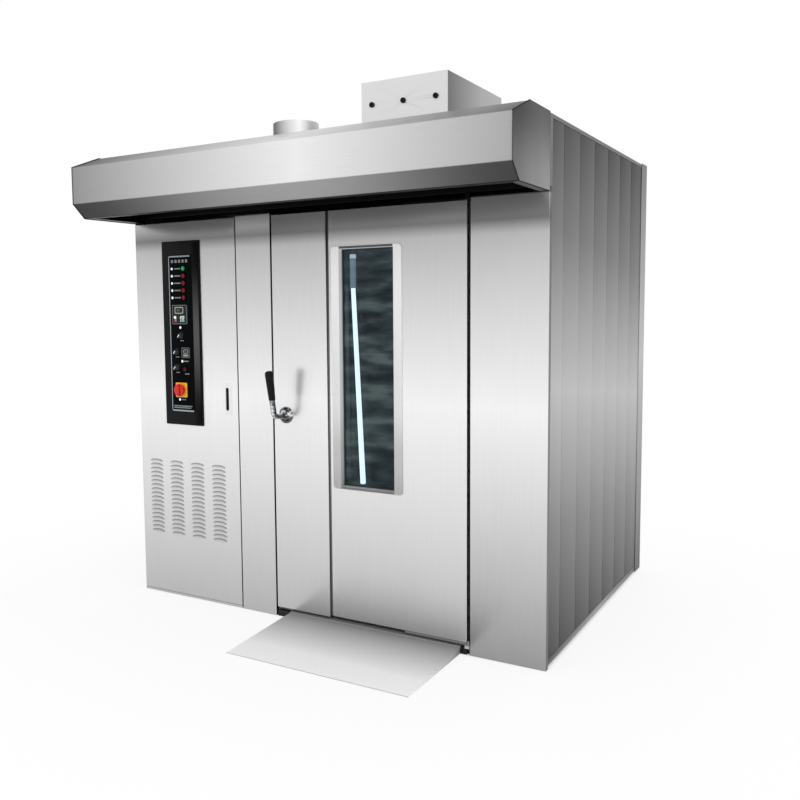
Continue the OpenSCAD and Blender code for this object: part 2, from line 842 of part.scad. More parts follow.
module fan_motor() {
    color("#4a6378")
        difference() {
            union() {
                block([fan_at[0] - 130, fan_at[1] - 130, body_h],
                      [fan_at[0] + 130, fan_at[1] + 130, body_h + motor_t]);
                bar_z([fan_at[0], fan_at[1], body_h + 7], 100, 16);
                bar_z([fan_at[0], fan_at[1], body_h + 20], 84, 110);
                bar_z([fan_at[0], fan_at[1], body_h + 128], 88, 34);
                block([fan_at[0] + 60, fan_at[1] - 40, body_h + 50],
                      [fan_at[0] + 122, fan_at[1] + 40, body_h + 104]);
            }
            bar_z([fan_at[0], fan_at[1], body_h - cut], 12 + running, 80);
            for (p = corners(fan_at, motor_bolts))
                bar_z([p[0], p[1], body_h - cut], 6, motor_t + 2 * cut);
        }
}

module hairpin(x, d, z0, z1) {
    leg = 26;
    tube_r = 8;
    for (s = [-1, 1])
        bar_z([x + s * leg, d, z0], tube_r, z1 - z0);
    at([x, d, z0])
        rotate([-90, 0, 0])
            rotate_extrude(angle = 180)
                translate([leg, 0])
                    circle(tube_r);
}

module heater_elements() {
    z1 = baffle_z - 200;
    x0 = inner_x0 + 51;
    x1 = seam_cabinet - seat;
    pitch = (x1 - x0) / 5;
    color(dark_steel)
        for (d = [fan_at[1] - 210, fan_at[1], fan_at[1] + 210]) {
            block([x0, d - 25, z1 - 4], [x1, d + 25, z1]);
            for (i = [1 : 4])
                hairpin(x0 + i * pitch, d, z1 - 940, z1 - 2);
        }
}

module steam_generator() {
    x0 = inner_x0 + 60;
    x1 = seam_cabinet - 30;
    d0 = rear_wool_d - 96;
    color(stainless) {
        for (i = [0 : 4])
            pan([x0, d0, 240 + i * 110], [x1, rear_wool_d - 6, 270 + i * 110], [1, 1, 1], [1, 1, 0]);
        for (x = [x0 - 4, x1])
            block([x, d0, floor_h + seat], [x + 4, rear_wool_d - 6, 740]);
        bar_z([pipe_at[0], pipe_at[1], 760], riser_r, body_h + 5 - 760);
        bar_x([x0 - 2, pipe_at[1], 760], riser_r, pipe_at[0] - x0 + 2);
        at([pipe_at[0], pipe_at[1], 760])
            sphere(riser_r);
        bar_z([pipe_at[0], pipe_at[1], body_h + seat], pipe_r + 6, 10 - seat);
        bar_z([pipe_at[0], pipe_at[1], body_h + 10], pipe_r, inlet_h);
        block([x0 - 4, d0, 730], [x0, rear_wool_d - 6, 800]);
    }
}

// ---- Service door and controls ----

module louvre(x, z) {
    profile_x(x, x + louvre_w, [[0.5, z + 9], [0, z + 9], [-6, z + 1], [-7, z - 4], [-5.2, z - 4.4],
                                [-4.4, z], [1, z + 6.5]]);
}

module service_door() {
    x0 = skin_inset;
    x1 = seam_cabinet - gap_cabinet / 2;
    depth = 22;
    z0 = 12;
    z1 = service_top;
    louvre_x = x0 + 60;
    louvre_z = 328;
    step_x = (x1 - 88 - louvre_w - louvre_x) / (louvre_cols - 1);
    step_z = 21.8;
    lug = 20;
    color(stainless)
        difference() {
            union() {
                difference() {
                    pan([x0, 0, z0], [x1, depth, z1], [1, 1, 1], [1, 0, 1]);
                    block([panel_x + 14, -cut, panel_z + 14],
                          [panel_x + panel_w - 14, sheet_t + cut, panel_z + panel_h - 14]);
                    block([x1 - 78, -cut, 970], [x1 - 42, sheet_t + cut, 1110]);
                    for (i = [0 : louvre_cols - 1], j = [0 : louvre_rows - 1])
                        block([louvre_x + i * step_x, -cut, louvre_z + j * step_z - 4],
                              [louvre_x + i * step_x + louvre_w, sheet_t + cut, louvre_z + j * step_z + 4]);
                }
                for (i = [0 : louvre_cols - 1], j = [0 : louvre_rows - 1])
                    louvre(louvre_x + i * step_x, louvre_z + j * step_z);
                block([x0 + 1, 1, z0 + 1], [x0 + 1 + lug, 1 + lug, z0 + lug]);
                block([x0 + 1, 1, z1 - lug], [x0 + 1 + lug, 1 + lug, z1 - 1]);
            }
            bar_z([x0 + 12, 11, z0 - cut], pin_r + running, 24);
            bar_z([x0 + 12, 11, z1 - 22], pin_r + running, 24);
        }
}

module service_pull() {
    x1 = seam_cabinet - gap_cabinet / 2;
    wall = 1.5;
    color(black) {
        pan([x1 - 77, -1.5, 971], [x1 - 43, 16, 1109], [1, 0, 1], [1, 1, 1], wall);
        difference() {
            round_plate(x1 - 81, x1 - 39, 964, 1116, -1.5, 0, 5);
            block([x1 - 77 + wall, -5, 971 + wall], [x1 - 43 - wall, 5, 1109 - wall]);
        }
    }
}

// Brackets and pins that both doors turn on
module hinge_pivots() {
    x0 = skin_inset;
    color(dark_steel) {
        block([x0 + 2, 2, 0], [x0 + 50, inner_x0 - seat, 11.7]);
        bar_z([x0 + 12, 11, 11], pin_r, 19);
        block([x0 + 2, 2, service_top + seat], [x0 + 50, 26, post_top + 2]);
        bar_z([x0 + 12, 11, service_top - 18], pin_r, 19);
        block([seam_hinge - 14, -6, floor_h], [seam_hinge + 6, 100, door_foot - 1 - seat]);
        bar_z([seam_hinge, 0, door_foot - 4], pin_r, 22);
        block([seam_hinge - 14, -6, door_top + arm_t + seat], [seam_hinge + 6, 100, post_top + 2]);
        bar_z([seam_hinge, 0, door_top - 8], pin_r, 20);
    }
}

module control_panel() {
    x1 = panel_x + panel_w;
    strip = (panel_w - plate_w) / 2;
    z1 = panel_z + panel_h;
    color(black)
        difference() {
            at([0, 0, panel_z])
                linear_extrude(panel_h)
                    polygon([[panel_x, 0], [panel_x, -panel_out], [x1 - strip, -panel_out],
                             [x1 - 4, -panel_out + 4], [x1, 0]]);
            block([panel_x + 2, -panel_out + 2, panel_z + 2], [x1 - 6, cut, z1 - 2]);
            control_holes();
        }
}

module control_holes() {
    for (p = concat(button_at, [stop_at], selector_at, [isolator_at]))
        bar_y([p[0], plate_face - 10, p[1]], stem_r + running, 40);
    for (p = lens_at)
        bar_y([p[0], plate_face - 10, p[1]], 3.2, 40);
}

module instrument_plate() {
    z0 = panel_z + 64;
    z1 = panel_z + 854;
    ring = 3;
    color(black)
        difference() {
            union() {
                block([plate_x0, plate_face, z0], [plate_x0 + plate_w, -panel_out, z1]);
                for (p = concat(button_at, [stop_at]))
                    difference() {
                        bar_y([p[0], plate_face - 4, p[1]], 14, 5);
                        bar_y([p[0], plate_face - 5, p[1]], 14 - ring, 5);
                    }
            }
            control_holes();
            block([controller_at[0] - 45, plate_face - 1, controller_at[1] - 45],
                  [controller_at[0] + 45, 1, controller_at[1] + 45]);
            block([timer_at[0] - 21, plate_face - 1, timer_at[1] - 21],
                  [timer_at[0] + 21, 1, timer_at[1] + 21]);
        }
}

// Button whose head stops 1 mm before the plate at the end of its travel
module push_button(p) {
    head_t = 4;
    back_d = plate_face - button_travel - 1;
    bar_y([p[0], back_d - head_t, p[1]], 10.5, head_t);
    bar_y([p[0], back_d - 1, p[1]], stem_r, 16);
}

module selector(p) {
    bar_y([p[0], plate_face - 6, p[1]], 14, 5);
    bar_y([p[0], plate_face - 18, p[1]], 11, 13, 12);
    block([p[0] - 3, plate_face - 21, p[1] - 11], [p[0] + 3, plate_face - 10, p[1] + 11]);
    bar_y([p[0], plate_face - 2, p[1]], stem_r, 12);
}

module button_1() {
    color("#18b06a")
        push_button(button_at[0]);
}

module button_2() {
    color("#c8202a")
        push_button(button_at[1]);
}

module button_3() {
    color("#c8202a")
        push_button(button_at[2]);
}

module button_4() {
    color("#c8202a")
        push_button(button_at[3]);
}

module button_5() {
    color("#c8202a")
        push_button(button_at[4]);
}

module stop_button() {
    color("#8c1420")
        push_button(stop_at);
}

module selector_1() {
    color(black)
        selector(selector_at[0]);
}

module selector_2() {
    color(black)
        selector(selector_at[1]);
}

module selector_3() {
    color(black)
        selector(selector_at[2]);
}

// Temperature controller, timer and pilot lenses, each through the plate
module instruments() {
    color("#3a3d40") {
        for (p = lens_at) {
            bar_y([p[0], plate_face - 1.5, p[1]], 4.5, 1.5);
            bar_y([p[0], plate_face - 1, p[1]], 3, 6);
        }
        for (item = [[controller_at, 48], [timer_at, 24]]) {
            p = item[0];
            r = item[1];
            block([p[0] - r, plate_face - 5, p[1] - r], [p[0] + r, plate_face, p[1] + r]);
            block([p[0] - r + 4, plate_face - 1, p[1] - r + 4],
                  [p[0] + r - 4, plate_face + 2, p[1] + r - 4]);
        }
    }
}

module isolator_plate() {
    half = 37;
    color("#f0b415")
        difference() {
            round_plate(isolator_at[0] - half, isolator_at[0] + half, isolator_at[1] - half,
                        isolator_at[1] + half, plate_face - 5, plate_face, 6);
            bar_y([isolator_at[0], plate_face - 10, isolator_at[1]], stem_r + running, 20);
        }
}

module isolator_knob() {
    color("#d3261c") {
        bar_y([isolator_at[0], plate_face - 27, isolator_at[1]], 29.5, 21.5, 32);
        block([isolator_at[0] - 8, plate_face - 34, isolator_at[1] - 28],
              [isolator_at[0] + 8, plate_face - 25, isolator_at[1] + 28]);
        bar_y([isolator_at[0], plate_face - 6, isolator_at[1]], stem_r, 14);
    }
}

// ---- Door ----

module window_hole(d0, d1, margin) {
    block([hole_x0 - margin, d0, hole_z0 - margin], [hole_x1 + margin, d1, hole_z1 + margin]);
}

module door_latch_panel() {
    x1 = seam_strip - gap_strip / 2;
    depth = 20;
    color(stainless)
        difference() {
            union() {
                pan([door_x0, 0, door_foot], [x1, depth, door_top], [1, 1, 1], [1, 0, 1]);
                block([x1 - sheet_t, 9, door_core_z], [seam_strip + gap_strip / 2 - seat, 11, door_top]);
            }
            bar_y([handle_x, -cut, handle_z], spindle_r + 2, 5);
        }
}

module door_window_panel() {
    depth = 20;
    color(stainless)
        difference() {
            pan([seam_strip + gap_strip / 2, 0, door_core_z], [door_x1, depth, door_top],
                [1, 1, 1], [1, 0, 1]);
            window_hole(-cut, 10, lining_t + seat);
        }
}

module door_core() {
    d0 = 22;
    d1 = door_t - sheet_t - seat;
    x0 = door_x0 + 3;
    x1 = door_x1 - 3;
    z0 = door_core_z + 3;
    z1 = door_top - 3;
    m = lining_t + 1;
    color(wool) {
        difference() {
            block([x0, d0, z0], [hole_x0 - m, d1, z1]);
            bar_y([handle_x, d0 - cut, handle_z], 30, d1 - d0 + 2 * cut);
            bolt_way(x0 - cut, handle_x + 40, 4);
        }
        block([hole_x1 + m, d0, z0], [x1, d1, z1]);
        block([hole_x0 - m + seat, d0, z0], [hole_x1 + m - seat, d1, hole_z0 - m]);
        block([hole_x0 - m + seat, d0, hole_z1 + m], [hole_x1 + m - seat, d1, z1]);
    }
}

module door_inner_skin() {
    d0 = 20 + 1;
    color(stainless)
        difference() {
            pan([door_x0, d0, door_core_z], [door_x1, door_t, door_top], [1, 0, 1], [1, 1, 1]);
            window_hole(door_t - 10, door_t + cut, lining_t + seat);
            bolt_way(door_x0 - cut, door_x0 + sheet_t + cut, seat);
        }
}

module window_frame() {
    color(chrome)
        difference() {
            union() {
                round_plate(win_x0, win_x1, window_z, win_z1, -4, 0, window_r);
                window_hole(-1, door_t + 2, lining_t);
                block([hole_x0 - 20, door_t, hole_z0 - 20], [hole_x1 + 20, door_t + 2, hole_z1 + 20]);
            }
            window_hole(-10, door_t + 10, 0);
        }
}

module window_panes() {
    color("#28474f")
        for (d = [pane_out_d, pane_in_d])
            block([hole_x0 + 1, d, hole_z0 + 1], [hole_x1 - 1, d + pane_t, hole_z1 - 1]);
}

module seal_ring(d0, t) {
    difference() {
        window_hole(d0, d0 + t, -0.1);
        window_hole(d0 - cut, d0 + t + cut, -seal_w);
    }
}

module door_seals() {
    g = 12;
    x0 = door_x0 + 10;
    x1 = door_x1 - 10;
    color(silicone) {
        for (d = [pane_out_d, pane_in_d]) {
            seal_ring(d - seal_t, seal_t);
            seal_ring(d + pane_t, seal_t);
        }
        difference() {
            block([x0, door_t, door_core_z + 4], [x1, post_d, door_top - 10]);
            block([x0 + g, door_t - cut, door_core_z], [x1 - g, post_d + cut, door_top - 10 - g]);
        }
        block([door_x0 + 4, door_t - 16, floor_h + 3], [seam_hinge - 18, door_t - 8, door_core_z]);
    }
}

module hinge_arm(z0) {
    difference() {
        union() {
            block([win_x1 + 5, 0, z0], [door_x1, 60, z0 + arm_t]);
            block([door_x1 - 6, -lug_r + 1, z0], [seam_hinge, lug_r, z0 + arm_t]);
            bar_z([seam_hinge, 0, z0], lug_r, arm_t);
        }
        bar_z([seam_hinge, 0, z0 - cut], pin_r + running, arm_t + 2 * cut);
    }
}

module hinge_arms() {
    color(stainless) {
        hinge_arm(door_foot - 1);
        hinge_arm(door_top);
    }
}

module handle_rose() {
    r = rose_d / 2;
    color(chrome)
        difference() {
            union() {
                bar_y([handle_x, -6, handle_z], r, 6);
                bar_y([handle_x, -22, handle_z], r * 0.62, 17, r * 0.97);
                bar_y([handle_x, -34, handle_z], 16, 13);
            }
            bar_y([handle_x, -40, handle_z], spindle_r + running, 60);
        }
}

// What stands on the bend's far end, with +Z along the leaning arm
module on_bend() {
    at([handle_x, bend_d, handle_z + bend_r])
        rotate([handle_lean, 0, 0])
            translate([0, -bend_r, 0])
                children();
}

module handle_lever() {
    r = arm_d / 2;
    nose_d = -35;
    into = 2;
    color(chrome) {
        bar_y([handle_x, bend_d, handle_z], r, nose_d - bend_d);
        bar_y([handle_x, nose_d - 1, handle_z], spindle_r, bolt_d[1] + 12 - nose_d);
        bar_y([handle_x, bolt_d[0] - 4, handle_z], pinion_r, bolt_d[1] - bolt_d[0] + 8);
        // The bend is a hair thinner than the straights and runs a little way into them
        at([handle_x, bend_d, handle_z + bend_r])
            rotate([handle_lean - 90 - into, 0, 0])
                rotate([0, 90, 0])
                    rotate_extrude(angle = 90 - handle_lean + 2 * into)
                        translate([bend_r, 0])
                            circle(r - 0.1);
        on_bend()
            cylinder(r = r, h = grip_start - bend_r);
    }
}

module handle_grip() {
    chamfer = 5;
    color(black)
        on_bend()
            translate([0, 0, grip_start - bend_r]) {
                cylinder(r1 = 15.5, r2 = 20, h = grip_len - chamfer);
                translate([0, 0, grip_len - chamfer])
                    cylinder(r1 = 20, r2 = 14, h = chamfer);
            }
}

module latch_bolt() {
    color(chrome)
        block([door_x0 + 1, bolt_d[0], bolt_z], [handle_x + 20, bolt_d[1], bolt_z + bolt_h]);
}

// Way of the bolt from x0 to x1, with room m all round
module bolt_way(x0, x1, m) {
    block([x0, bolt_d[0] - m, bolt_z - m], [x1, bolt_d[1] + m, bolt_z + bolt_h + m]);
}

// Tube between the panes, set slightly askew, in a foot and a long upper holder
module door_lamp() {
    foot = [hole_x0 + 80, (pane_out_d + pane_in_d) / 2 + 2, hole_z0];
    top = [hole_x0 + 38, foot[1], hole_z1 - 172];
    foot_h = 9;
    foot_r = (pane_in_d - pane_out_d - pane_t) / 2 - seal_t - 2.5;
    cap_h = 22;
    lean = atan2(top[0] - foot[0], top[2] - foot[2]);
    // The tilted ends reach this much past the tube's axis
    tip = abs(sin(lean)) * lamp_d / 2 + seat;
    color("#dff1ff")
        at(foot)
            rotate([0, lean, 0])
                translate([0, 0, foot_h + tip])
                    cylinder(d = lamp_d, h = norm(top - foot) - foot_h - tip);
    color(dark_steel) {
        block(foot + [-17, -foot_r, 0], foot + [17, foot_r, foot_h]);
        bar_z(top + [0, 0, tip], lamp_d / 2 + 1, hole_z1 - cap_h - top[2]);
        block([top[0] - 17, top[1] - foot_r, hole_z1 - cap_h], [top[0] + 17, top[1] + foot_r, hole_z1]);
    }
}

floor_pan();
chamber_floor();
ramp();
side_sheets();
rear_sheets();
corner_trims();
roof_sheets();
insulation();
chamber_liner();
duct_walls();
door_frame();
partitions();
left_post();
right_post();
front_header();
hood_shell();
roof_box();
roof_bolts();
extractor_fan();
extractor_motor();
vent_collar();
vent_damper();
rotor_shaft();
rotor_bearing();
rotor_gearmotor();
rack_hanger();
circulation_fan();
fan_motor();
heater_elements();
steam_generator();
service_door();
service_pull();
hinge_pivots();
control_panel();
instrument_plate();
button_1();
button_2();
button_3();
button_4();
button_5();
stop_button();
selector_1();
selector_2();
selector_3();
instruments();
isolator_plate();
isolator_knob();
door_latch_panel();
door_window_panel();
door_core();
door_inner_skin();
window_frame();
window_panes();
door_seals();
hinge_arms();
handle_rose();
handle_lever();
handle_grip();
latch_bolt();
door_lamp();
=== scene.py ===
"""Looks of a rotating rack oven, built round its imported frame.

Shapes are worked out in millimetres as (from the left side, behind the front face, above the ground), which
the
comments call v, d and z, and are put into metres in the frame's own axes when a piece is made.
"""

import json
import logging
import math
from dataclasses import dataclass, field, replace
from enum import Enum
from typing import Dict, List, Optional, Sequence, Tuple

import bpy
import numpy as np
from mathutils import Matrix, Vector

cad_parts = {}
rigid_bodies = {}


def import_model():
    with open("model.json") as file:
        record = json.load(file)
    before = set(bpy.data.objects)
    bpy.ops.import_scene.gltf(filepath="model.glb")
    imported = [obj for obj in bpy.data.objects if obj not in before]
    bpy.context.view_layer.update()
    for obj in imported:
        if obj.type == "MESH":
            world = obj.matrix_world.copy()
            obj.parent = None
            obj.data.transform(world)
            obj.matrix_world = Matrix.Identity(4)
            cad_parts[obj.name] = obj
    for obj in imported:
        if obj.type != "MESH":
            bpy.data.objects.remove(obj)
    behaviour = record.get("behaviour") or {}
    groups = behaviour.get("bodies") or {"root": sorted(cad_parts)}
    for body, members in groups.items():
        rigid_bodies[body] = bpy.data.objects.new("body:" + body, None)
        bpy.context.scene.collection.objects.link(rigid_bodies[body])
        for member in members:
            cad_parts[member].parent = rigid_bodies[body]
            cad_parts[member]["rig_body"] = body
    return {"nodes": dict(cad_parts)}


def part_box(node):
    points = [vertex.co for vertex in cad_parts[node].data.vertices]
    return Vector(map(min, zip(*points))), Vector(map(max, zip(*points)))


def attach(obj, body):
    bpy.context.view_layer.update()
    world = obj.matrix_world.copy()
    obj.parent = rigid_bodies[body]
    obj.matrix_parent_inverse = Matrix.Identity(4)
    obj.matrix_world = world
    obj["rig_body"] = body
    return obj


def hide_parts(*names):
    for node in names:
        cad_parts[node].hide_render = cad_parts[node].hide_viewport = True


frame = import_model()

log = logging.getLogger("rack_oven")
Array = np.ndarray
Grey = float
Colour = Tuple[float, float, float]
Rect = Tuple[float, float, float, float]

MM = 0.001
BODY_W = 2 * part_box("front_header")[1][0] / MM
BODY_D = 2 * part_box("corner_trims")[1][1] / MM
FOOT = np.array([BODY_W / 2, BODY_D / 2, 0.0])
SHEET = 2.0
BUTTONS = tuple(f"button_{k}" for k in range(1, 6))
SELECTORS = tuple(f"selector_{k}" for k in range(1, 4))


def extent(node: str) -> Tuple[Array, Array]:
    """Lowest and highest corner of a CAD node.

    Args:
        node: the node's name.

    Returns:
        The two corners, in millimetres of v, d and z.
    """
    low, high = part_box(node)
    return np.array(low) / MM + FOOT, np.array(high) / MM + FOOT


def linear(level: float) -> float:
    """The linear value of a colour level from 0 to 255 as it is seen on a screen."""
    c = level / 255
    return c / 12.92 if c <= 0.04045 else ((c + 0.055) / 1.055) ** 2.4


def rgba(colour: Sequence[float]) -> Tuple[float, float, float, float]:
    """A colour of three screen levels as the linear four numbers of a shader's socket."""
    return (linear(colour[0]), linear(colour[1]), linear(colour[2]), 1.0)


# ---- Surfaces ----


class Plane(Enum):
    """The plane that an outline lies in, as the axes of its two directions and of its depth."""

    FRONT = (0, 2, 1)
    SIDE = (1, 2, 0)
    LEVEL = (0, 1, 2)

    def lay(self, points: Array) -> Array:
        """Turns (across, up, depth) points of this plane into v, d and z."""
        laid = np.empty_like(points)
        laid[..., list(self.value)] = points
        return laid


def arc(centre: Sequence[float], radius: float, start: float, stop: float, steps: int) -> Array:
    """Points round a centre: centre + radius·(cos t, sin t), t in even steps between two angles in
    degrees."""
    t = np.radians(np.linspace(start, stop, steps + 1))
    return np.column_stack([centre[0] + radius * np.cos(t), centre[1] + radius * np.sin(t)])


def ring(centre: Sequence[float], radius: float, count: int = 48) -> Array:
    """A closed circle of count points."""
    return arc(centre, radius, 0, 360, count)[:-1]


def rounded(rect: Rect, radius: float, steps: int = 6) -> Array:
    """Outline of a rectangle whose four corners are quarter circles.

    Args:
        rect: low across, low up, high across, high up.
        radius: the corners' radius.
        steps: the parts of each quarter circle.

    Returns:
        The closed outline, anticlockwise.
    """
    a0, b0, a1, b1 = rect
    r = radius
    corners = [((a1 - r, b0 + r), -90), ((a1 - r, b1 - r), 0), ((a0 + r, b1 - r), 90),
               ((a0 + r, b0 + r), 180)]
    return np.vstack([arc(c, r, t, t + 90, steps) for c, t in corners])


def squared(rect: Rect, count: int) -> Array:
    """Points of a rectangle's edge in the directions of a circle of count points round its middle.

    Each direction (cos t, sin t) is lengthened until its larger part reaches the rectangle's edge.
    """
    half = np.array([rect[2] - rect[0], rect[3] - rect[1]]) / 2
    way = ring((0, 0), 1, count)
    reach = 1 / np.max(np.abs(way), axis=1, keepdims=True)
    return np.array([rect[0], rect[1]]) + half + way * reach * half


def moved(outline: Array, distance: float) -> Array:
    """A closed anticlockwise outline moved inwards: each corner goes along the mitre of its two edges'
    normals."""
    edge = np.roll(outline, -1, axis=0) - outline
    edge = edge / np.maximum(np.linalg.norm(edge, axis=1, keepdims=True), 1e-9)
    after = np.column_stack([-edge[:, 1], edge[:, 0]])
    before = np.roll(after, 1, axis=0)
    return outline + distance * (before + after) / (1 + np.sum(before * after, axis=1, keepdims=True))


def bent(points: Sequence[Tuple[float, float]], radius: float, steps: int = 5) -> Array:
    """A line whose corners are bends: each corner is an arc that touches both of its straights.

    Args:
        points: the line's ends and sharp corners.
        radius: the bends' radius.
        steps: the parts of each bend.

    Returns:
        The line's points in order.
    """
    line = [np.array(p, float) for p in points]
    parts = [line[:1]]
    for before, corner, after in zip(line, line[1:], line[2:]):
        to_before = (before - corner) / np.linalg.norm(before - corner)
        to_after = (after - corner) / np.linalg.norm(after - corner)
        half = math.acos(float(np.clip(to_before @ to_after, -1, 1))) / 2
        middle = corner + (to_before + to_after) / np.linalg.norm(to_before + to_after) * radius / math.sin(half)
        start = corner + to_before * radius / math.tan(half) - middle
        stop = corner + to_after * radius / math.tan(half) - middle
        t = np.linspace(0, 1, steps + 1)[:, None]
        turn = math.pi - 2 * half
        parts.append(middle + (np.sin((1 - t) * turn) * start + np.sin(t * turn) * stop) / math.sin(turn))
    parts.append(line[-1:])
    return np.vstack(parts)


def beside(line: Array, distance: float) -> Array:
    """An open line moved to its left: each point goes along the mitre of the normals before and after it."""
    step = np.diff(line, axis=0)
    step = step / np.linalg.norm(step, axis=1, keepdims=True)
    normal = np.column_stack([-step[:, 1], step[:, 0]])
    before = np.vstack([normal[:1], normal])
    after = np.vstack([normal, normal[-1:]])
    return line + distance * (before + after) / (1 + np.sum(before * after, axis=1, keepdims=True))


def drawn(line: Array, across: Array) -> Array:
    """A line in depth and height drawn across: point (i, j) is (across j, depth i, height i)."""
    size = (len(line), len(across))
    parts = (across[None, :], line[:, :1], line[:, 1:])
    return np.stack([np.broadcast_to(part, size) for part in parts], -1)


class Shape:
    """Closed surfaces that are gathered into one mesh."""

    def __init__(self) -> None:
        """Starts with nothing."""
        self.points: List[Array] = []
        self.faces: List[List[int]] = []
        self.count = 0

    def solid(self, points: Array, faces: Sequence[Array]) -> "Shape":
        """Takes a closed surface and turns its faces outwards.

        The sum over all triangles of corner · (corner × corner) is six times the volume, and is negative
        where
        the faces point inwards.

        Args:
            points: the corners, in v, d and z.
            faces: arrays of faces, one row a face, each array with faces of one size.

        Returns:
            This shape.
        """
        centred = points - points.mean(axis=0)
        volume = 0.0
        for block in faces:
            first = centred[block[:, 0]]
            for k in range(1, block.shape[1] - 1):
                volume += float(np.sum(first * np.cross(centred[block[:, k]], centred[block[:, k + 1]])))
        for block in faces:
            turned = block if volume > 0 else block[:, ::-1]
            self.faces.extend((turned + self.count).tolist())
        self.points.append(points)
        self.count += len(points)
        return self

    def loft(self, rings: Array, closed: bool = False) -> "Shape":
        """Joins rings of points in order.

        Args:
            rings: (ring, point, 3), with each ring a closed loop.
            closed: whether the last ring joins the first; otherwise both ends are capped.

        Returns:
            This shape.
        """
        n, m = rings.shape[:2]
        index = np.arange(n * m).reshape(n, m)
        near = index if closed else index[:-1]
        far = np.roll(index, -1, axis=0) if closed else index[1:]
        sides = np.stack([near, np.roll(near, -1, 1), np.roll(far, -1, 1), far], axis=-1).reshape(-1, 4)
        caps = [] if closed else [index[:1, ::-1], index[-1:]]
        return self.solid(rings.reshape(-1, 3), [sides, *caps])

    def prism(self, outline: Array, near: float, far: float, plane: Plane, edge: float = 0.8,
              steps: int = 2) -> "Shape":
        """A plate with rounded edges: ring k is the outline moved in by edge·(1 − sin t), edge·(1 − cos t)
        deep.

        Args:
            outline: closed and anticlockwise.
            near: depth of one face.
            far: depth of the other face.
            plane: the plane of the outline.
            edge: radius of the edges.
            steps: parts of each edge's quarter circle.

        Returns:
            This shape.
        """
        t = np.linspace(0, math.pi / 2, steps + 1)
        inset = edge * (1 - np.sin(t))
        deep = edge * (1 - np.cos(t))
        way = 1 if far > near else -1
        depths = np.concatenate([near + way * deep, (far - way * deep)[::-1]])
        flats = [moved(outline, i) for i in np.concatenate([inset, inset[::-1]])]
        rings = np.stack([np.column_stack([f, np.full(len(f), z)]) for f, z in zip(flats, depths)])
        return self.loft(plane.lay(rings))

    def box(self, low: Sequence[float], high: Sequence[float], edge: float = 0.8,
            plane: Plane = Plane.FRONT) -> "Shape":
        """A bar or plate between two corners, with its edges rounded round the plane's depth and its
        faces."""
        a, b, c = plane.value
        outline = rounded((low[a], low[b], high[a], high[b]), edge, 3)
        return self.prism(outline, low[c], high[c], plane, edge * 0.6)

    def turned(self, profile: Sequence[Tuple[float, float]], centre: Sequence[float], plane: Plane,
               sides: int = 48, closed: bool = False) -> "Shape":
        """A profile turned round an axis: point (r, h) goes to centre + r·(cos t, sin t), h along the axis.

        Args:
            profile: radius and place along the axis of each point.
            centre: where the axis crosses the plane.
            plane: the plane that the axis stands on.
            sides: the parts of a full turn.
            closed: whether the profile is a closed loop, such as a tube's wall.

        Returns:
            This shape.
        """
        r, h = np.array(profile, float).T
        unit = ring((0, 0), 1, sides)
        flat = np.array(centre, float) + r[:, None, None] * unit
        rings = np.concatenate([flat, np.repeat(h[:, None, None], sides, 1)], axis=-1)
        return self.loft(plane.lay(rings), closed)

    def sweep(self, path: Array, radii: Sequence[float], across: Sequence[float], sides: int = 28) -> "Shape":
        """A round bar along a flat path: ring = path + radius·(cos t · across + sin t · tangent × across).

        Args:
            path: points in v, d and z.
            radii: the bar's radius at each point.
            across: the direction that the whole path is square to.
            sides: the parts of a full turn.

        Returns:
            This shape.
        """
        tangent = np.gradient(path, axis=0)
        tangent = tangent / np.linalg.norm(tangent, axis=1, keepdims=True)
        side = np.array(across, float)
        up = np.cross(tangent, side)
        unit = ring((0, 0), 1, sides)
        radius = np.array(radii, float)[:, None, None]
        spokes = unit[None, :, :1] * side + unit[None, :, 1:] * up[:, None, :]
        return self.loft(path[:, None, :] + radius * spokes)

    def frame_ring(self, rings: Sequence[Tuple[Array, float]], plane: Plane) -> "Shape":
        """A profile carried round an opening: outlines of equal length at their depths, the last joined to
        the first."""
        made = np.stack([np.column_stack([o, np.full(len(o), depth)]) for o, depth in rings])
        return self.loft(plane.lay(made), closed=True)

    def shell(self, outer: Array, inner: Array, keep: Array, rings: Sequence[Array] = ()) -> "Shape":
        """A sheet between two grids of points, left open where cells aren't kept.

        Args:
            outer: (i, j, 3), the outer face.
            inner: (i, j, 3), the inner face.
            keep: (i − 1, j − 1), which cells hold metal.
            rings: closed loops of points round the grid's edge, in order from the outer face to the inner;
                with none, the two edges are joined.

        Returns:
            This shape.
        """
        n, m = outer.shape[:2]
        top = np.arange(n * m).reshape(n, m)
        low = top + n * m
        i, j = np.nonzero(keep)
        faces = [np.stack([top[i, j], top[i + 1, j], top[i + 1, j + 1], top[i, j + 1]], axis=1),
                 np.stack([low[i, j], low[i, j + 1], low[i + 1, j + 1], low[i + 1, j]], axis=1)]
        for axis in (0, 1):
            before = np.take(keep, range(keep.shape[axis] - 1), axis=axis)
            after = np.take(keep, range(1, keep.shape[axis]), axis=axis)
            for mask, way in ((before & ~after, 1), (~before & after, -1)):
                i, j = np.nonzero(mask)
                a, b = (i + 1, j) if axis == 0 else (i, j + 1)
                wall = np.stack([top[a, b], low[a, b], low[i + 1, j + 1], top[i + 1, j + 1]], axis=1)
                faces.append(wall[:, ::way if axis == 0 else -way])
        loop = np.concatenate([top[:, 0], top[-1, 1:], top[-2::-1, -1], top[0, -2:0:-1]])
        chain = [loop]
        extra = [outer.reshape(-1, 3), inner.reshape(-1, 3)]
        start = 2 * n * m
        for points in rings:
            chain.append(np.arange(len(points)) + start)
            extra.append(points)
            start += len(points)
        chain.append(loop + n * m)
        for near, far in zip(chain, chain[1:]):
            faces.append(np.stack([near, far, np.roll(far, -1), np.roll(near, -1)], axis=1))
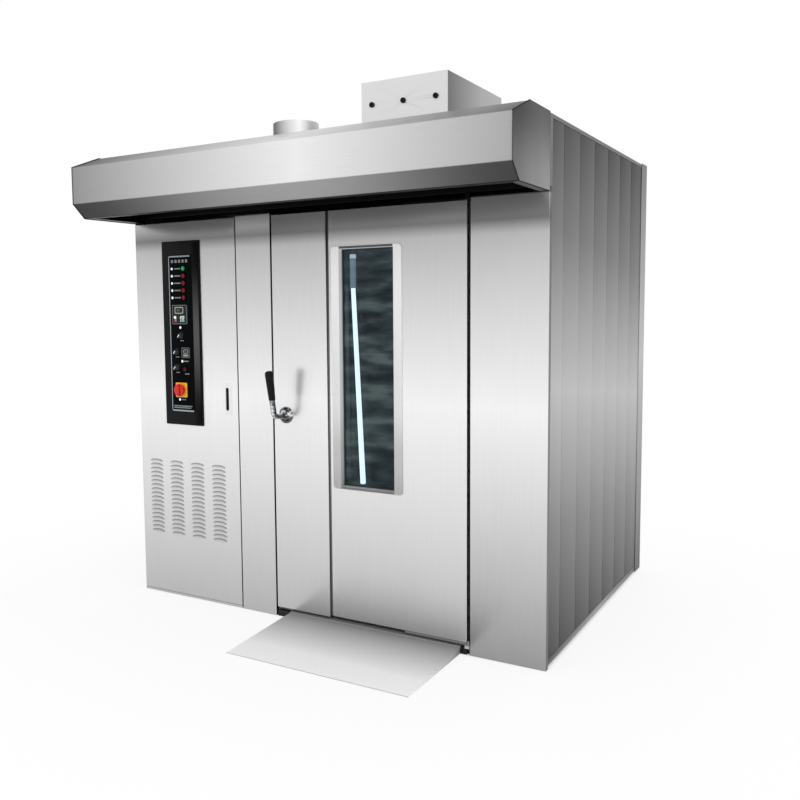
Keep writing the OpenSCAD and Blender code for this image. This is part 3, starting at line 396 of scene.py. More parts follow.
        return self.solid(np.vstack(extra), faces)

    def pan(self, rect: Rect, face: float, back: float, plane: Plane, holes: Sequence[Rect] = (),
            bend: float = 3.0, wall: float = SHEET) -> "Shape":
        """A sheet folded back along its four edges, with mitred corners.

        The face is a grid of lines, without the cells that lie in a hole. Round it, ring k stands bend·sin t
        outside the face's edge and bend·(1 − cos t) behind the face, and the last ring lies at the fold's
        depth.
        The inside is the same with the wall taken off.

        Args:
            rect: the sheet's outside in the plane.
            face: depth of the face.
            back: depth of the folds' ends.
            plane: the plane of the face.
            holes: openings in the face.
            bend: outer radius of the bends.
            wall: thickness of the sheet.

        Returns:
            This shape.
        """
        way = 1 if back > face else -1
        lines = []
        for k in (0, 1):
            low, high = rect[k] + bend, rect[k + 2] - bend
            lines.append(np.unique([low, high, *[h[q] for h in holes for q in (k, k + 2)]]))
        a, b = np.meshgrid(*lines, indexing="ij")
        keep = np.ones((len(lines[0]) - 1, len(lines[1]) - 1), bool)
        mid_a, mid_b = np.meshgrid(*[(x[1:] + x[:-1]) / 2 for x in lines], indexing="ij")
        for h in holes:
            keep &= ~((mid_a > h[0]) & (mid_a < h[2]) & (mid_b > h[1]) & (mid_b < h[3]))
        grid = np.stack([a, b], -1)
        edge = np.concatenate([grid[:, 0], grid[-1, 1:], grid[-2::-1, -1], grid[0, -2:0:-1]])
        outwards = (edge == [lines[0][-1], lines[1][-1]]).astype(float)
        outwards -= edge == [lines[0][0], lines[1][0]]
        turns = np.linspace(0, math.pi / 2, 5)[1:]
        inner = bend - wall
        stages = [(bend * math.sin(t), bend * (1 - math.cos(t))) for t in turns] + [(bend, abs(back - face))]
        stages += [(inner, abs(back - face))]
        stages += [(inner * math.sin(t), wall + inner * (1 - math.cos(t))) for t in turns[::-1]]
        rings = [plane.lay(np.column_stack([edge + outwards * out, np.full(len(edge), face + way * deep)]))
                 for out, deep in stages]
        outer = plane.lay(np.stack([a, b, np.full(a.shape, face)], -1))
        under = plane.lay(np.stack([a, b, np.full(a.shape, face + way * wall)], -1))
        return self.shell(outer, under, keep, rings)


# ---- Finishes ----


class Tree:
    """A node tree while it is wired."""

    def __init__(self, tree: bpy.types.NodeTree) -> None:
        """Takes the tree."""
        self.tree = tree

    def node(self, kind: str, **settings: object) -> bpy.types.Node:
        """Adds a node and sets its properties."""
        made = self.tree.nodes.new(kind)
        for key, value in settings.items():
            setattr(made, key, value)
        return made

    def link(self, source: bpy.types.NodeSocket, target: bpy.types.NodeSocket) -> None:
        """Joins two sockets."""
        self.tree.links.new(source, target)

    def ranged(self, value: bpy.types.NodeSocket, low: float, high: float, start: float = 0.0,
               stop: float = 1.0) -> bpy.types.NodeSocket:
        """A value's range start to stop spread over low to high."""
        made = self.node("ShaderNodeMapRange")
        for socket, number in zip(("From Min", "From Max", "To Min", "To Max"), (start, stop, low, high)):
            made.inputs[socket].default_value = number
        self.link(value, made.inputs["Value"])
        return made.outputs["Result"]

    def maths(self, operation: str, *values: object) -> bpy.types.NodeSocket:
        """The result of a Math node, whose inputs are sockets or plain numbers."""
        made = self.node("ShaderNodeMath", operation=operation)
        for socket, value in zip(made.inputs, values):
            if isinstance(value, bpy.types.NodeSocket):
                self.link(value, socket)
            else:
                socket.default_value = value
        return made.outputs[0]

    def seen_as_white(self) -> bpy.types.NodeSocket:
        """1 for camera, mirror and glass rays, and 0 for the rays that light the object."""
        path = self.node("ShaderNodeLightPath")
        total = path.outputs["Is Camera Ray"]
        for name in ("Is Glossy Ray", "Is Transmission Ray"):
            total = self.maths("MAXIMUM", total, path.outputs[name])
        return total


class Wires(Tree):
    """One procedural material while it is wired: a Principled shader and what feeds it."""

    def __init__(self, name: str) -> None:
        """Makes the material with its shader and its object coordinates."""
        self.material = bpy.data.materials.new(name)
        self.material.use_nodes = True
        super().__init__(self.material.node_tree)
        self.shader = self.tree.nodes["Principled BSDF"]
        self.place = self.node("ShaderNodeTexCoord").outputs["Object"]

    def noise(self, scale: Sequence[float], detail: float = 2.0) -> bpy.types.NodeSocket:
        """Noise with so many grains a metre along each axis, from 0 to 1."""
        mapping = self.node("ShaderNodeMapping")
        mapping.inputs["Scale"].default_value = scale
        self.link(self.place, mapping.inputs["Vector"])
        noise = self.node("ShaderNodeTexNoise")
        noise.inputs["Scale"].default_value = 1.0
        noise.inputs["Detail"].default_value = detail
        self.link(mapping.outputs["Vector"], noise.inputs["Vector"])
        return noise.outputs["Fac"]

    def ramp(self, value: bpy.types.NodeSocket, stops: Sequence[Tuple[float, Colour]],
             soft: bool = True) -> bpy.types.NodeSocket:
        """A colour for each value, blended between stops of (value, screen colour), smoothly if it is
        soft."""
        made = self.node("ShaderNodeValToRGB")
        made.color_ramp.interpolation = "EASE" if soft else "LINEAR"
        elements = made.color_ramp.elements
        for k, (at, colour) in enumerate(stops):
            element = elements[k] if k < 2 else elements.new(at)
            element.position = at
            element.color = rgba(colour)
        self.link(value, made.inputs["Fac"])
        return made.outputs["Color"]

    def along(self, axis: int) -> bpy.types.NodeSocket:
        """The object's coordinate along one axis, in metres."""
        split = self.node("ShaderNodeSeparateXYZ")
        self.link(self.place, split.inputs[0])
        return split.outputs[axis]

    def mixed(self, share: bpy.types.NodeSocket, first: bpy.types.NodeSocket,
              second: bpy.types.NodeSocket) -> bpy.types.NodeSocket:
        """Two colours mixed by the second one's share."""
        made = self.node("ShaderNodeMix", data_type="RGBA")
        for socket, source in zip((made.inputs[0], made.inputs[6], made.inputs[7]), (share, first, second)):
            self.link(source, socket)
        return made.outputs[2]

    def tinted(self, first: bpy.types.NodeSocket, second: bpy.types.NodeSocket) -> bpy.types.NodeSocket:
        """The product of two colours."""
        made = self.node("ShaderNodeMix", data_type="RGBA", blend_type="MULTIPLY")
        made.inputs[0].default_value = 1.0
        self.link(first, made.inputs[6])
        self.link(second, made.inputs[7])
        return made.outputs[2]

    def bump(self, height: bpy.types.NodeSocket, depth: float) -> None:
        """Lets a height shape the shader's normal, to a depth in metres."""
        made = self.node("ShaderNodeBump")
        made.inputs["Strength"].default_value = 1.0
        made.inputs["Distance"].default_value = depth
        self.link(height, made.inputs["Height"])
        self.link(made.outputs["Normal"], self.shader.inputs["Normal"])


@dataclass(frozen=True)
class Finish:
    """A finish with a grain in its colour, its gloss and its relief."""

    name: str
    colour: Colour
    roughness: float = 0.5
    metallic: float = 0.0
    grain: Tuple[float, float, float] = (300.0, 300.0, 300.0)
    mottle: float = 0.06
    relief: float = 0.00005
    specular: float = 0.5

    def colour_of(self, wires: Wires, grain: bpy.types.NodeSocket) -> bpy.types.NodeSocket:
        """The base colour, which the grain lightens and darkens a little.

        Args:
            wires: the material.
            grain: noise from 0 to 1.

        Returns:
            The colour's socket.
        """
        low = tuple(c * (1 - self.mottle) for c in self.colour)
        high = tuple(min(255.0, c * (1 + self.mottle)) for c in self.colour)
        return wires.ramp(grain, [(0.25, low), (0.75, high)])

    def dress(self, wires: Wires) -> None:
        """Sets what this finish has besides its colour, gloss and relief."""

    def material(self) -> bpy.types.Material:
        """The finish as a material, made once."""
        known = bpy.data.materials.get(self.name)
        if known is not None:
            return known
        wires = Wires(self.name)
        grain = wires.noise(self.grain)
        wires.link(self.colour_of(wires, grain), wires.shader.inputs["Base Color"])
        spread = 0.15 * self.roughness
        gloss = wires.ranged(grain, self.roughness - spread, self.roughness + spread)
        wires.link(gloss, wires.shader.inputs["Roughness"])
        wires.shader.inputs["Metallic"].default_value = self.metallic
        wires.shader.inputs["Specular IOR Level"].default_value = self.specular
        if self.relief:
            wires.bump(grain, self.relief)
        self.dress(wires)
        return wires.material


@dataclass(frozen=True)
class PaintedShade:
    """Painted shade and painted reflection of steel along one axis: stops of (millimetres along the axis, screen
    grey).

    The lean is how many millimetres the shades sink for each millimetre of depth.
    """

    axis: int
    stops: Tuple[Tuple[float, Grey], ...]
    soft: bool = True
    lean: float = 0.0

    def shade(self, wires: Wires) -> bpy.types.NodeSocket:
        """The painted shade at each place, blended between the stops."""
        places = [(at - FOOT[self.axis]) * MM for at, _ in self.stops]
        place = wires.along(self.axis)
        if self.lean:
            deep = wires.maths("ADD", wires.along(1), FOOT[1] * MM)
            place = wires.maths("ADD", place, wires.maths("MULTIPLY", deep, self.lean))
        along = wires.ranged(place, 0.0, 1.0, places[0], places[-1])
        span = places[-1] - places[0]
        stops = [((p - places[0]) / span, (g,) * 3) for p, (_, g) in zip(places, self.stops)]
        return wires.ramp(along, stops, self.soft)


@dataclass(frozen=True)
class BrushedSteel(Finish):
    """Satin stainless sheet, brushed along one axis, with painted shade and painted reflections of a bright room
    in its colour.
    """

    colour: Colour = (226, 226, 228)
    roughness: float = 0.34
    metallic: float = 0.7
    mottle: float = 0.02
    relief: float = 0.00001
    along: int = 2
    painted_shades: Tuple[PaintedShade, ...] = ()

    def shades(self, wires: Wires) -> bpy.types.NodeSocket:
        """The painted shades multiplied together."""
        shade = self.painted_shades[0].shade(wires)
        for painted_shade in self.painted_shades[1:]:
            shade = wires.tinted(shade, painted_shade.shade(wires))
        return shade

    def colour_of(self, wires: Wires, grain: bpy.types.NodeSocket) -> bpy.types.NodeSocket:
        """The painted shades, with hair lines along the brushing."""
        scale = [900.0] * 3
        scale[self.along] = 6.0
        lines = wires.ramp(wires.noise(scale, 3.0), [(0.3, (248,) * 3), (0.7, (255,) * 3)])
        return wires.tinted(self.shades(wires), lines)


@dataclass(frozen=True)
class HoodSteel(BrushedSteel):
    """Steel of the hood with painted shade and painted reflection: the face's painted shades, other ones on the
    two slopes, and a painted shade under the lower lip.
    """

    upper: PaintedShade = PaintedShade(0, ())
    lower: PaintedShade = PaintedShade(0, ())
    face: Tuple[float, float] = (0.0, 1.0)
    lip: float = 0.0

    def shades(self, wires: Wires) -> bpy.types.NodeSocket:
        """The face's painted shades between the slopes' heights, each slope's own beyond them, and a painted shade
        on the lip's underside.
        """
        height = wires.along(2)
        blur = 2 * MM
        low, top = self.face[0] * MM, self.face[1] * MM
        above = wires.ranged(height, 0.0, 1.0, top - blur, top + blur)
        below = wires.ranged(height, 0.0, 1.0, low + blur, low - blur)
        shade = wires.mixed(above, super().shades(wires), self.upper.shade(wires))
        shade = wires.mixed(below, shade, self.lower.shade(wires))
        # Painted shade: the lowest 2.5 mm of the hood, the lip's underside, is near black.
        under = PaintedShade(2, ((self.lip, 20.0), (self.lip + 0.8, 30.0), (self.lip + 2.5, 255.0)), soft=False)
        return wires.tinted(shade, under.shade(wires))


@dataclass(frozen=True)
class LouvreSteel(BrushedSteel):
    """Steel of the louvres with painted shade: each is darkened by a painted shade along its arched top that
    lightens to its lip, row after row.

    Start, pitch and width are given across and up, in millimetres; the arch is how far the ends lie lower.
    """

    start: Tuple[float, float] = (0.0, 0.0)
    pitch: Tuple[float, float] = (1.0, 1.0)
    width: float = 1.0
    arch: float = 1.0
    painted_shade_rise: Tuple[Tuple[float, Grey], ...] = ((0.0, 240.0), (0.2, 226.0), (0.42, 186.0), (0.62, 158.0))

    def row(self, wires: Wires, axis: int, raised: Optional[bpy.types.NodeSocket] = None) -> bpy.types.NodeSocket:
        """How far a place lies along its louvre's pitch, from 0 to 1."""
        k = 0 if axis == 0 else 1
        place = wires.along(axis) if raised is None else raised
        shifted = wires.maths("SUBTRACT", place, (self.start[k] - FOOT[axis]) * MM)
        return wires.maths("FRACT", wires.maths("DIVIDE", shifted, self.pitch[k] * MM))

    def shades(self, wires: Wires) -> bpy.types.NodeSocket:
        """The painted shade by the height over the lip, with arch·|2s − 1|³ added to the height at s across."""
        across = wires.maths("MULTIPLY", self.row(wires, 0), 2 * self.pitch[0] / self.width)
        side = wires.maths("ABSOLUTE", wires.maths("SUBTRACT", across, 1.0))
        bow = wires.maths("MULTIPLY", wires.maths("POWER", side, 3.0), self.arch * MM)
        up = self.row(wires, 2, wires.maths("ADD", wires.along(2), bow))
        stops = [(at, (g,) * 3) for at, g in self.painted_shade_rise]
        return wires.tinted(super().shades(wires), wires.ramp(up, stops))


@dataclass(frozen=True)
class Chrome(Finish):
    """Bright plating with painted reflections: a room's light and dark painted in as soft noise blotches and in
    stripes.
    """

    colour: Colour = (236, 238, 242)
    roughness: float = 0.16
    metallic: float = 1.0
    relief: float = 0.0
    patches: Tuple[float, float, float] = (46.0, 46.0, 60.0)
    painted_reflection_levels: Tuple[Tuple[float, float], ...] = ((0.38, 0.42), (0.46, 0.8), (0.54, 0.95), (0.62, 1.0))
    painted_reflection_bands: Optional[PaintedShade] = None

    def colour_of(self, wires: Wires, grain: bpy.types.NodeSocket) -> bpy.types.NodeSocket:
        """Painted reflections: noise blotches in the plating's colour, times the painted reflection stripes."""
        shade = wires.ramp(wires.noise(self.patches, 1.0),
                           [(at, tuple(c * level for c in self.colour)) for at, level in self.painted_reflection_levels])
        return wires.tinted(shade, self.painted_reflection_bands.shade(wires)) if self.painted_reflection_bands else shade


@dataclass(frozen=True)
class Glass(Finish):
    """Clear glass with a tint, with a faint, blocky glow painted in for the room's reflections and the dim trays
    seen through it.
    """

    roughness: float = 0.02
    relief: float = 0.0
    index: float = 1.2
    blocks: Tuple[float, float, float] = (5.0, 1.0, 19.0)
    painted_glow: Tuple[Tuple[float, Colour], ...] = ((0.38, (5, 8, 10)), (0.52, (26, 33, 35)), (0.66, (52, 58, 56)))

    def dress(self, wires: Wires) -> None:
        """Lets the light through and adds the painted glow."""
        wires.shader.inputs["Transmission Weight"].default_value = 1.0
        wires.shader.inputs["IOR"].default_value = self.index
        painted_glow = wires.ramp(wires.noise(self.blocks, 5.0), self.painted_glow, soft=False)
        wires.link(painted_glow, wires.shader.inputs["Emission Color"])
        wires.shader.inputs["Emission Strength"].default_value = 1.0


@dataclass(frozen=True)
class Glow(Finish):
    """A lit surface: lamps and displays, and a painted glow on some parts that are no lamp."""

    strength: float = 1.0

    def dress(self, wires: Wires) -> None:
        """Lights it in its own colour."""
        wires.shader.inputs["Emission Color"].default_value = rgba(self.colour)
        wires.shader.inputs["Emission Strength"].default_value = self.strength


@dataclass(frozen=True)
class Lacquer(Finish):
    """A glossy skin of plastic or paint."""

    coat: float = 0.4

    def dress(self, wires: Wires) -> None:
        """Adds the clear gloss."""
        wires.shader.inputs["Coat Weight"].default_value = self.coat
        wires.shader.inputs["Coat Roughness"].default_value = 0.12


def front_steel(name: str, foot: Grey, flank: Grey = 8.0) -> BrushedSteel:
    """Steel of a front panel with painted shade and painted reflection: brightest at breast height, greyer towards
    the ground, a painted shadow of the hood below it, and near black under the hood.

    Args:
        name: the finish's name.
        foot: the painted shade at the ground.
        flank: the painted shade of the folds behind the face, which makes the seams dark.

    Returns:
        The finish.
    """
    # Painted shade along the height: the foot's shade, a painted reflection lightest at 1060 mm, the hood's
    # painted shadow from 1770 to 1920 mm, and near black above 1923 mm.
    stops = ((0.0, foot), (1060.0, 245.0), (1770.0, 190.0), (1825.0, 125.0), (1920.0, 200.0), (1923.0, 12.0))
    # Painted shade on the folds behind the face, dark from 4 mm deep, so the seams look shaded.
    folds = ((-10.0, 255.0), (1.5, 255.0), (4.0, flank), (110.0, flank))
    return BrushedSteel(name=name, roughness=0.25, painted_shades=(PaintedShade(2, stops, soft=False),
                                                          PaintedShade(1, folds, soft=False)))


CHROME = Chrome(name="polished_steel")
# Painted shade for hinge parts in the doors' gaps: near black above 160 mm, mid grey at the doors' bottom edge and
# light at the ground.
GAP_SHADE_STEEL = BrushedSteel(name="dark_steel", metallic=0.4, specular=0.1, painted_shades=(PaintedShade(2, (
    (0.0, 200.0), (38.0, 200.0), (42.0, 130.0), (60.0, 130.0), (160.0, 18.0), (2400.0, 18.0)), soft=False),))
CHAMBER = Finish(name="chamber_steel", colour=(150, 148, 144), roughness=0.4, metallic=0.8, grain=(8, 8, 500))
# Painted light: the chamber floor is at full brightness for the first 110 mm behind the door, where it lies in the
# door's shade, and grey further in.
SILL = BrushedSteel(name="sill_steel", along=0, metallic=0.0, roughness=0.6, painted_shades=(PaintedShade(1, (
    (10.0, 255.0), (110.0, 255.0), (220.0, 150.0), (1650.0, 140.0)), soft=False),))
# Painted shade on the door frame: dark at the bottom, and near black above 1905 mm in the hood's shade.
FRAME_STEEL = BrushedSteel(name="door_frame_steel", metallic=0.6, specular=0.1, painted_shades=(PaintedShade(2, (
    (0.0, 40.0), (60.0, 60.0), (200.0, 140.0), (1880.0, 140.0), (1905.0, 10.0), (2202.0, 10.0)),
    soft=False),))
MILL = Finish(name="mill_steel", colour=(118, 120, 123), roughness=0.45, metallic=0.9, grain=(30, 30, 400))
# Near-black paint that stands for the shade inside the hood.
SHADOW_STEEL = Finish(name="hood_shadow_steel", colour=(13, 13, 14), roughness=0.6, metallic=0.5,
                      grain=(6, 300, 300), specular=0.1)
BLACK_OXIDE = Finish(name="black_oxide", colour=(24, 24, 27), roughness=0.42, metallic=0.5, specular=0.2)
CAST = Lacquer(name="cast_housing", colour=(112, 118, 121), roughness=0.55, relief=0.0003,
               grain=(180, 180, 180))
ENAMEL = Lacquer(name="motor_enamel", colour=(96, 118, 138), roughness=0.4, relief=0.0001,
                 grain=(160, 160, 160))
WOOL = Finish(name="mineral_wool", colour=(196, 184, 140), roughness=0.95, mottle=0.25, relief=0.002,
              grain=(220, 220, 90))
SILICONE = Finish(name="slate_silicone", colour=(40, 48, 54), roughness=0.6, mottle=0.05, specular=0.25)
BLACK = Finish(name="black_plastic", colour=(8, 8, 10), roughness=0.5, grain=(900, 900, 900), specular=0.03)
GRIP = Finish(name="grip_rubber", colour=(14, 14, 15), roughness=0.5, grain=(700, 700, 700), relief=0.0001,
              specular=0.16)
FOIL = Lacquer(name="panel_foil", colour=(7, 10, 11), roughness=0.45, mottle=0.04, specular=0.02, coat=0.0)
# The green button is given a painted glow, though it is no lamp.
GREEN = Glow(name="green_button", colour=(10, 148, 92), roughness=0.25, strength=0.2, specular=0.2)
RED = Lacquer(name="red_button", colour=(124, 8, 20), roughness=0.3, coat=0.05, specular=0.12)
DARK_RED = Lacquer(name="stop_button_red", colour=(76, 8, 26), roughness=0.3, coat=0.03, specular=0.1)
YELLOW = Lacquer(name="isolator_yellow", colour=(244, 170, 36), roughness=0.4, coat=0.15)
KNOB_RED = Lacquer(name="isolator_red", colour=(206, 26, 14), roughness=0.35, coat=0.15, specular=0.3)
PALE = Glow(name="pilot_lens", colour=(236, 240, 240), roughness=0.3, strength=0.25)
INK = Finish(name="pale_print", colour=(176, 184, 184), roughness=0.5)
LINE = Finish(name="grey_line", colour=(142, 152, 162), roughness=0.45)
BEZEL = Finish(name="grey_bezel", colour=(96, 102, 100), roughness=0.5)
GLASS_DARK = Lacquer(name="dark_display", colour=(14, 20, 20), roughness=0.2, coat=0.15, specular=0.2)
MINT = Glow(name="mint_digits", colour=(150, 226, 206), roughness=0.4, strength=0.5)
PINK = Glow(name="red_digits", colour=(236, 120, 126), roughness=0.4, strength=0.5)
PANE = Glass(name="toughened_glass", colour=(146, 160, 168))
TUBE = Glow(name="lamp_tube", colour=(240, 244, 255), roughness=0.3, strength=3.0)
HOLDER = Glow(name="lamp_holder", colour=(186, 206, 214), roughness=0.35, strength=0.5)
# Painted shade on the pull's rim: a touch lighter upwards.
PULL_RIM = BrushedSteel(name="pull_rim_steel", painted_shades=(PaintedShade(2, ((950.0, 236.0), (1130.0, 240.0))),))
# Painted shade on the window's rails: dark grey, darker upwards.
RAIL = BrushedSteel(name="rail_steel", painted_shades=(PaintedShade(2, ((650.0, 116.0), (1760.0, 84.0))),))
# Painted reflection across the collar: a dark stripe left of its middle, lightest right of it.
COLLAR = BrushedSteel(name="collar_steel", metallic=0.3, specular=0.05, painted_shades=(PaintedShade(0, (
    (990.0, 150.0), (1040.0, 100.0), (1160.0, 250.0), (1195.0, 200.0)), soft=False),))


# ---- Pieces ----

def piece(name: str, shape: Shape, finish: Finish, on: str, stands_for: Sequence[str] = ()) -> None:
    """Makes gathered surfaces one object that moves with a CAD node's body.

    Args:
        name: the piece's name.
        shape: its surfaces.
        finish: its finish.
        on: the node whose body it rides on.
        stands_for: the CAD nodes that it is shown for.
    """
    mesh = bpy.data.meshes.new(name)
    points = (np.vstack(shape.points) - FOOT) * MM
    mesh.from_pydata(points.tolist(), [], shape.faces)
    mesh.update()
    mesh.shade_smooth()
    mesh.set_sharp_from_angle(angle=math.radians(32))
    mesh.materials.append(finish.material())
    shown = bpy.data.objects.new(name, mesh)
    bpy.context.scene.collection.objects.link(shown)
    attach(shown, frame["nodes"][on]["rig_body"])
    if stands_for:
        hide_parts(*stands_for)
    log.info("%s: %d points, %d faces, %s", name, shape.count, len(shape.faces), finish.name)


def dress(node: str, finish: Finish, edge: float = 0.6) -> None:
    """Gives a CAD node its finish and breaks its sharp edges.

    Args:
        node: the node's name.
        finish: its finish.
        edge: radius of its edges, in millimetres, or 0.
    """
    shown = frame["nodes"][node]
    shown.data.materials.clear()
    shown.data.materials.append(finish.material())
    if edge:
        weld = shown.modifiers.new("weld", "WELD")
        weld.merge_threshold = 0.00001
        bevel = shown.modifiers.new("edges", "BEVEL")
        bevel.width = edge * MM
        bevel.segments = 2
        bevel.limit_method = "ANGLE"
        bevel.angle_limit = math.radians(40)
    log.info("%s: dressed in %s", node, finish.name)


@dataclass
class Casing:
    """Outer sheets of the body: sides, rear, roof, header and posts."""

    pitch: float = 225.0
    trim_w: float = 116.0
    rear_count: int = 8
    gap: float = 1.0
    rail_h: float = 26.0
    roof_seams: Tuple[float, float] = (650.0, 1420.0)
    # Painted shade and painted reflection on the side sheets: dark at the ground and the top, lightest about 1150
    # mm up, the shades sinking towards the back.
    side_painted_shade: PaintedShade = PaintedShade(2, ((0.0, 45.0), (600.0, 130.0), (1150.0, 185.0), (1800.0, 110.0), (2320.0, 45.0)),
                           soft=False, lean=0.1)
    # Painted shade on the corner trims: darker at the ground and the top.
    trim_painted_shade: PaintedShade = PaintedShade(2, ((0.0, 85.0), (1200.0, 185.0), (2320.0, 95.0)), soft=False)
    # Painted shade at the ground for the hinge post, and for the latch post and plinth.
    hinge_foot: Grey = 155.0
    latch_foot: Grey = 185.0

    def side_edges(self) -> List[float]:
        """Depths of the seams between the side sheets, from the front corner back."""
        first = extent("side_sheets")[0][1] - self.gap
        last = BODY_D - self.trim_w
        count = round((last - first) / self.pitch) - 1
        start = last - count * self.pitch
        return [first, *[start + k * self.pitch for k in range(count + 1)], BODY_D - 3]

    def sides(self) -> None:
        """Folded sheets on both sides, with dark seams between them."""
        low, high = extent("side_sheets")
        edges = self.side_edges()
        steel = BrushedSteel(name="side_steel", metallic=0.15, specular=0.03, painted_shades=(self.side_painted_shade,))
        for name, face, fold in (("left", low[0], low[0] + 20), ("right", high[0], high[0] - 20)):
            shape = Shape()
            for d0, d1 in zip(edges, edges[1:]):
                shape.pan((d0 + self.gap, low[2] + self.rail_h, d1 - self.gap, high[2]), face, fold,
                          Plane.SIDE)
            piece(f"{name}_side_sheets", shape, steel, "side_sheets",
                  ["side_sheets"] if name == "left" else [])
        rail = Shape()
        for v in (low[0], high[0] - 20):
            rail.box((v, edges[0] + self.gap, low[2]), (v + 20, edges[-1] - self.gap,
                                                        low[2] + self.rail_h - 0.5),
                     0.5, Plane.SIDE)
        # Painted shade along the base rails: darker at both ends, lighter in the middle.
        painted_shade = PaintedShade(1, ((30.0, 85.0), (800.0, 150.0), (1530.0, 70.0)), soft=False)
        piece("base_rails", rail, BrushedSteel(name="base_steel", along=1, metallic=0.3, specular=0.12,
                                               painted_shades=(painted_shade,)), "side_sheets")

    def rear(self) -> None:
        """Folded sheets across the back."""
        low, high = extent("rear_sheets")
        step = (high[0] - low[0] + 2 * self.gap) / self.rear_count
        shape = Shape()
        for k in range(self.rear_count):
            v = low[0] + k * step
            shape.pan((v, low[2], v + step - 2 * self.gap, high[2]), high[1], low[1], Plane.FRONT)
        # Painted shade on the rear sheets: darker at the ground and the top, lightest at mid height.
        steel = BrushedSteel(name="rear_steel", painted_shades=(PaintedShade(2, ((0.0, 120.0), (1150.0, 204.0), (2224.0, 140.0))),))
        piece("rear_wall_sheets", shape, steel, "rear_sheets", ["rear_sheets"])

    def roof(self) -> None:
        """Three folded roof sheets."""
        low, high = extent("roof_sheets")
        edges = [low[0], *self.roof_seams, high[0]]
        shape = Shape()
        for k, (v0, v1) in enumerate(zip(edges, edges[1:])):
            left = v0 + (self.gap if k else 0)
            right = v1 - (self.gap if k < 2 else 0)
            shape.pan((left, low[1], right, high[1]), high[2], low[2], Plane.LEVEL)
        # Painted shade: the roof's folded edges are dark, and its top face light.
        steel = BrushedSteel(name="roof_steel", along=1, metallic=0.3, specular=0.12, painted_shades=(
            PaintedShade(2, ((low[2], 88.0), (high[2] - 2, 84.0), (high[2] - 0.4, 214.0)), soft=False),))
        piece("roof_panels", shape, steel, "roof_sheets", ["roof_sheets"])

    def front(self) -> None:
        """Header and hinge post; the latch post keeps its CAD shape with the bolt's way in it."""
        low, high = extent("front_header")
        shape = Shape().pan((low[0], low[2], high[0], high[2]), low[1], high[1], Plane.FRONT)
        # Painted shadow: the header under the hood is near black, and grey on its two folded ends.
        ends = ((low[0], 104.0), (low[0] + 1.6, 104.0), (low[0] + 4, 12.0), (high[0] - 4, 12.0),
                (high[0] - 1.6, 104.0), (high[0], 104.0))
        steel = BrushedSteel(name="header_steel", metallic=0.3, specular=0.1,
                             painted_shades=(PaintedShade(0, ends, soft=False),))
        piece("header_sheet", shape, steel, "front_header", ["front_header"])
        low, high = extent("right_post")
        shape = Shape().pan((low[0], low[2], high[0], high[2]), low[1], 28.0, Plane.FRONT)
        shape.box((low[0], 24.5, low[2]), (low[0] + SHEET, high[1], high[2]), 0.5, Plane.SIDE)
        piece("hinge_post_sheet", shape, front_steel("hinge_post_steel", self.hinge_foot, 110),
              "right_post", ["right_post"])
        dress("left_post", front_steel("latch_post_steel", self.latch_foot))
        dress("corner_trims", BrushedSteel(name="trim_steel", metallic=0.15, specular=0.05,
                                           painted_shades=(self.trim_painted_shade,)))
        door = extent("service_door")
        plinth = Shape().box((door[0][0], 0.5, 0.5), (door[1][0], 3, door[0][2] - 0.6), 0.4)
        piece("service_plinth", plinth, front_steel("plinth_steel", self.latch_foot, 186), "floor_pan")

    def build(self) -> None:
        """Makes all the casing's pieces."""
        self.sides()
        self.rear()
        self.roof()
        self.front()
        dress("floor_pan", MILL)
        # Painted shade on the ramp: a grey line at its front edge, then bright, darkening towards the door, whose
        # shade falls there.
        ramp = BrushedSteel(name="ramp_steel", along=1, roughness=0.5, metallic=0.1, specular=0.2, painted_shades=(
            PaintedShade(1, ((-490.0, 190.0), (-485.0, 255.0), (-350.0, 250.0), (0.0, 145.0)), soft=False),))
        dress("ramp", ramp)
        low, high = extent("ramp")
        sill = Shape().box((low[0], high[1] + 0.2, high[2] - SHEET + 0.3), (high[0], high[1] + 34, high[2]),
                           0.5)
        piece("ramp_sill", sill, ramp, "ramp")


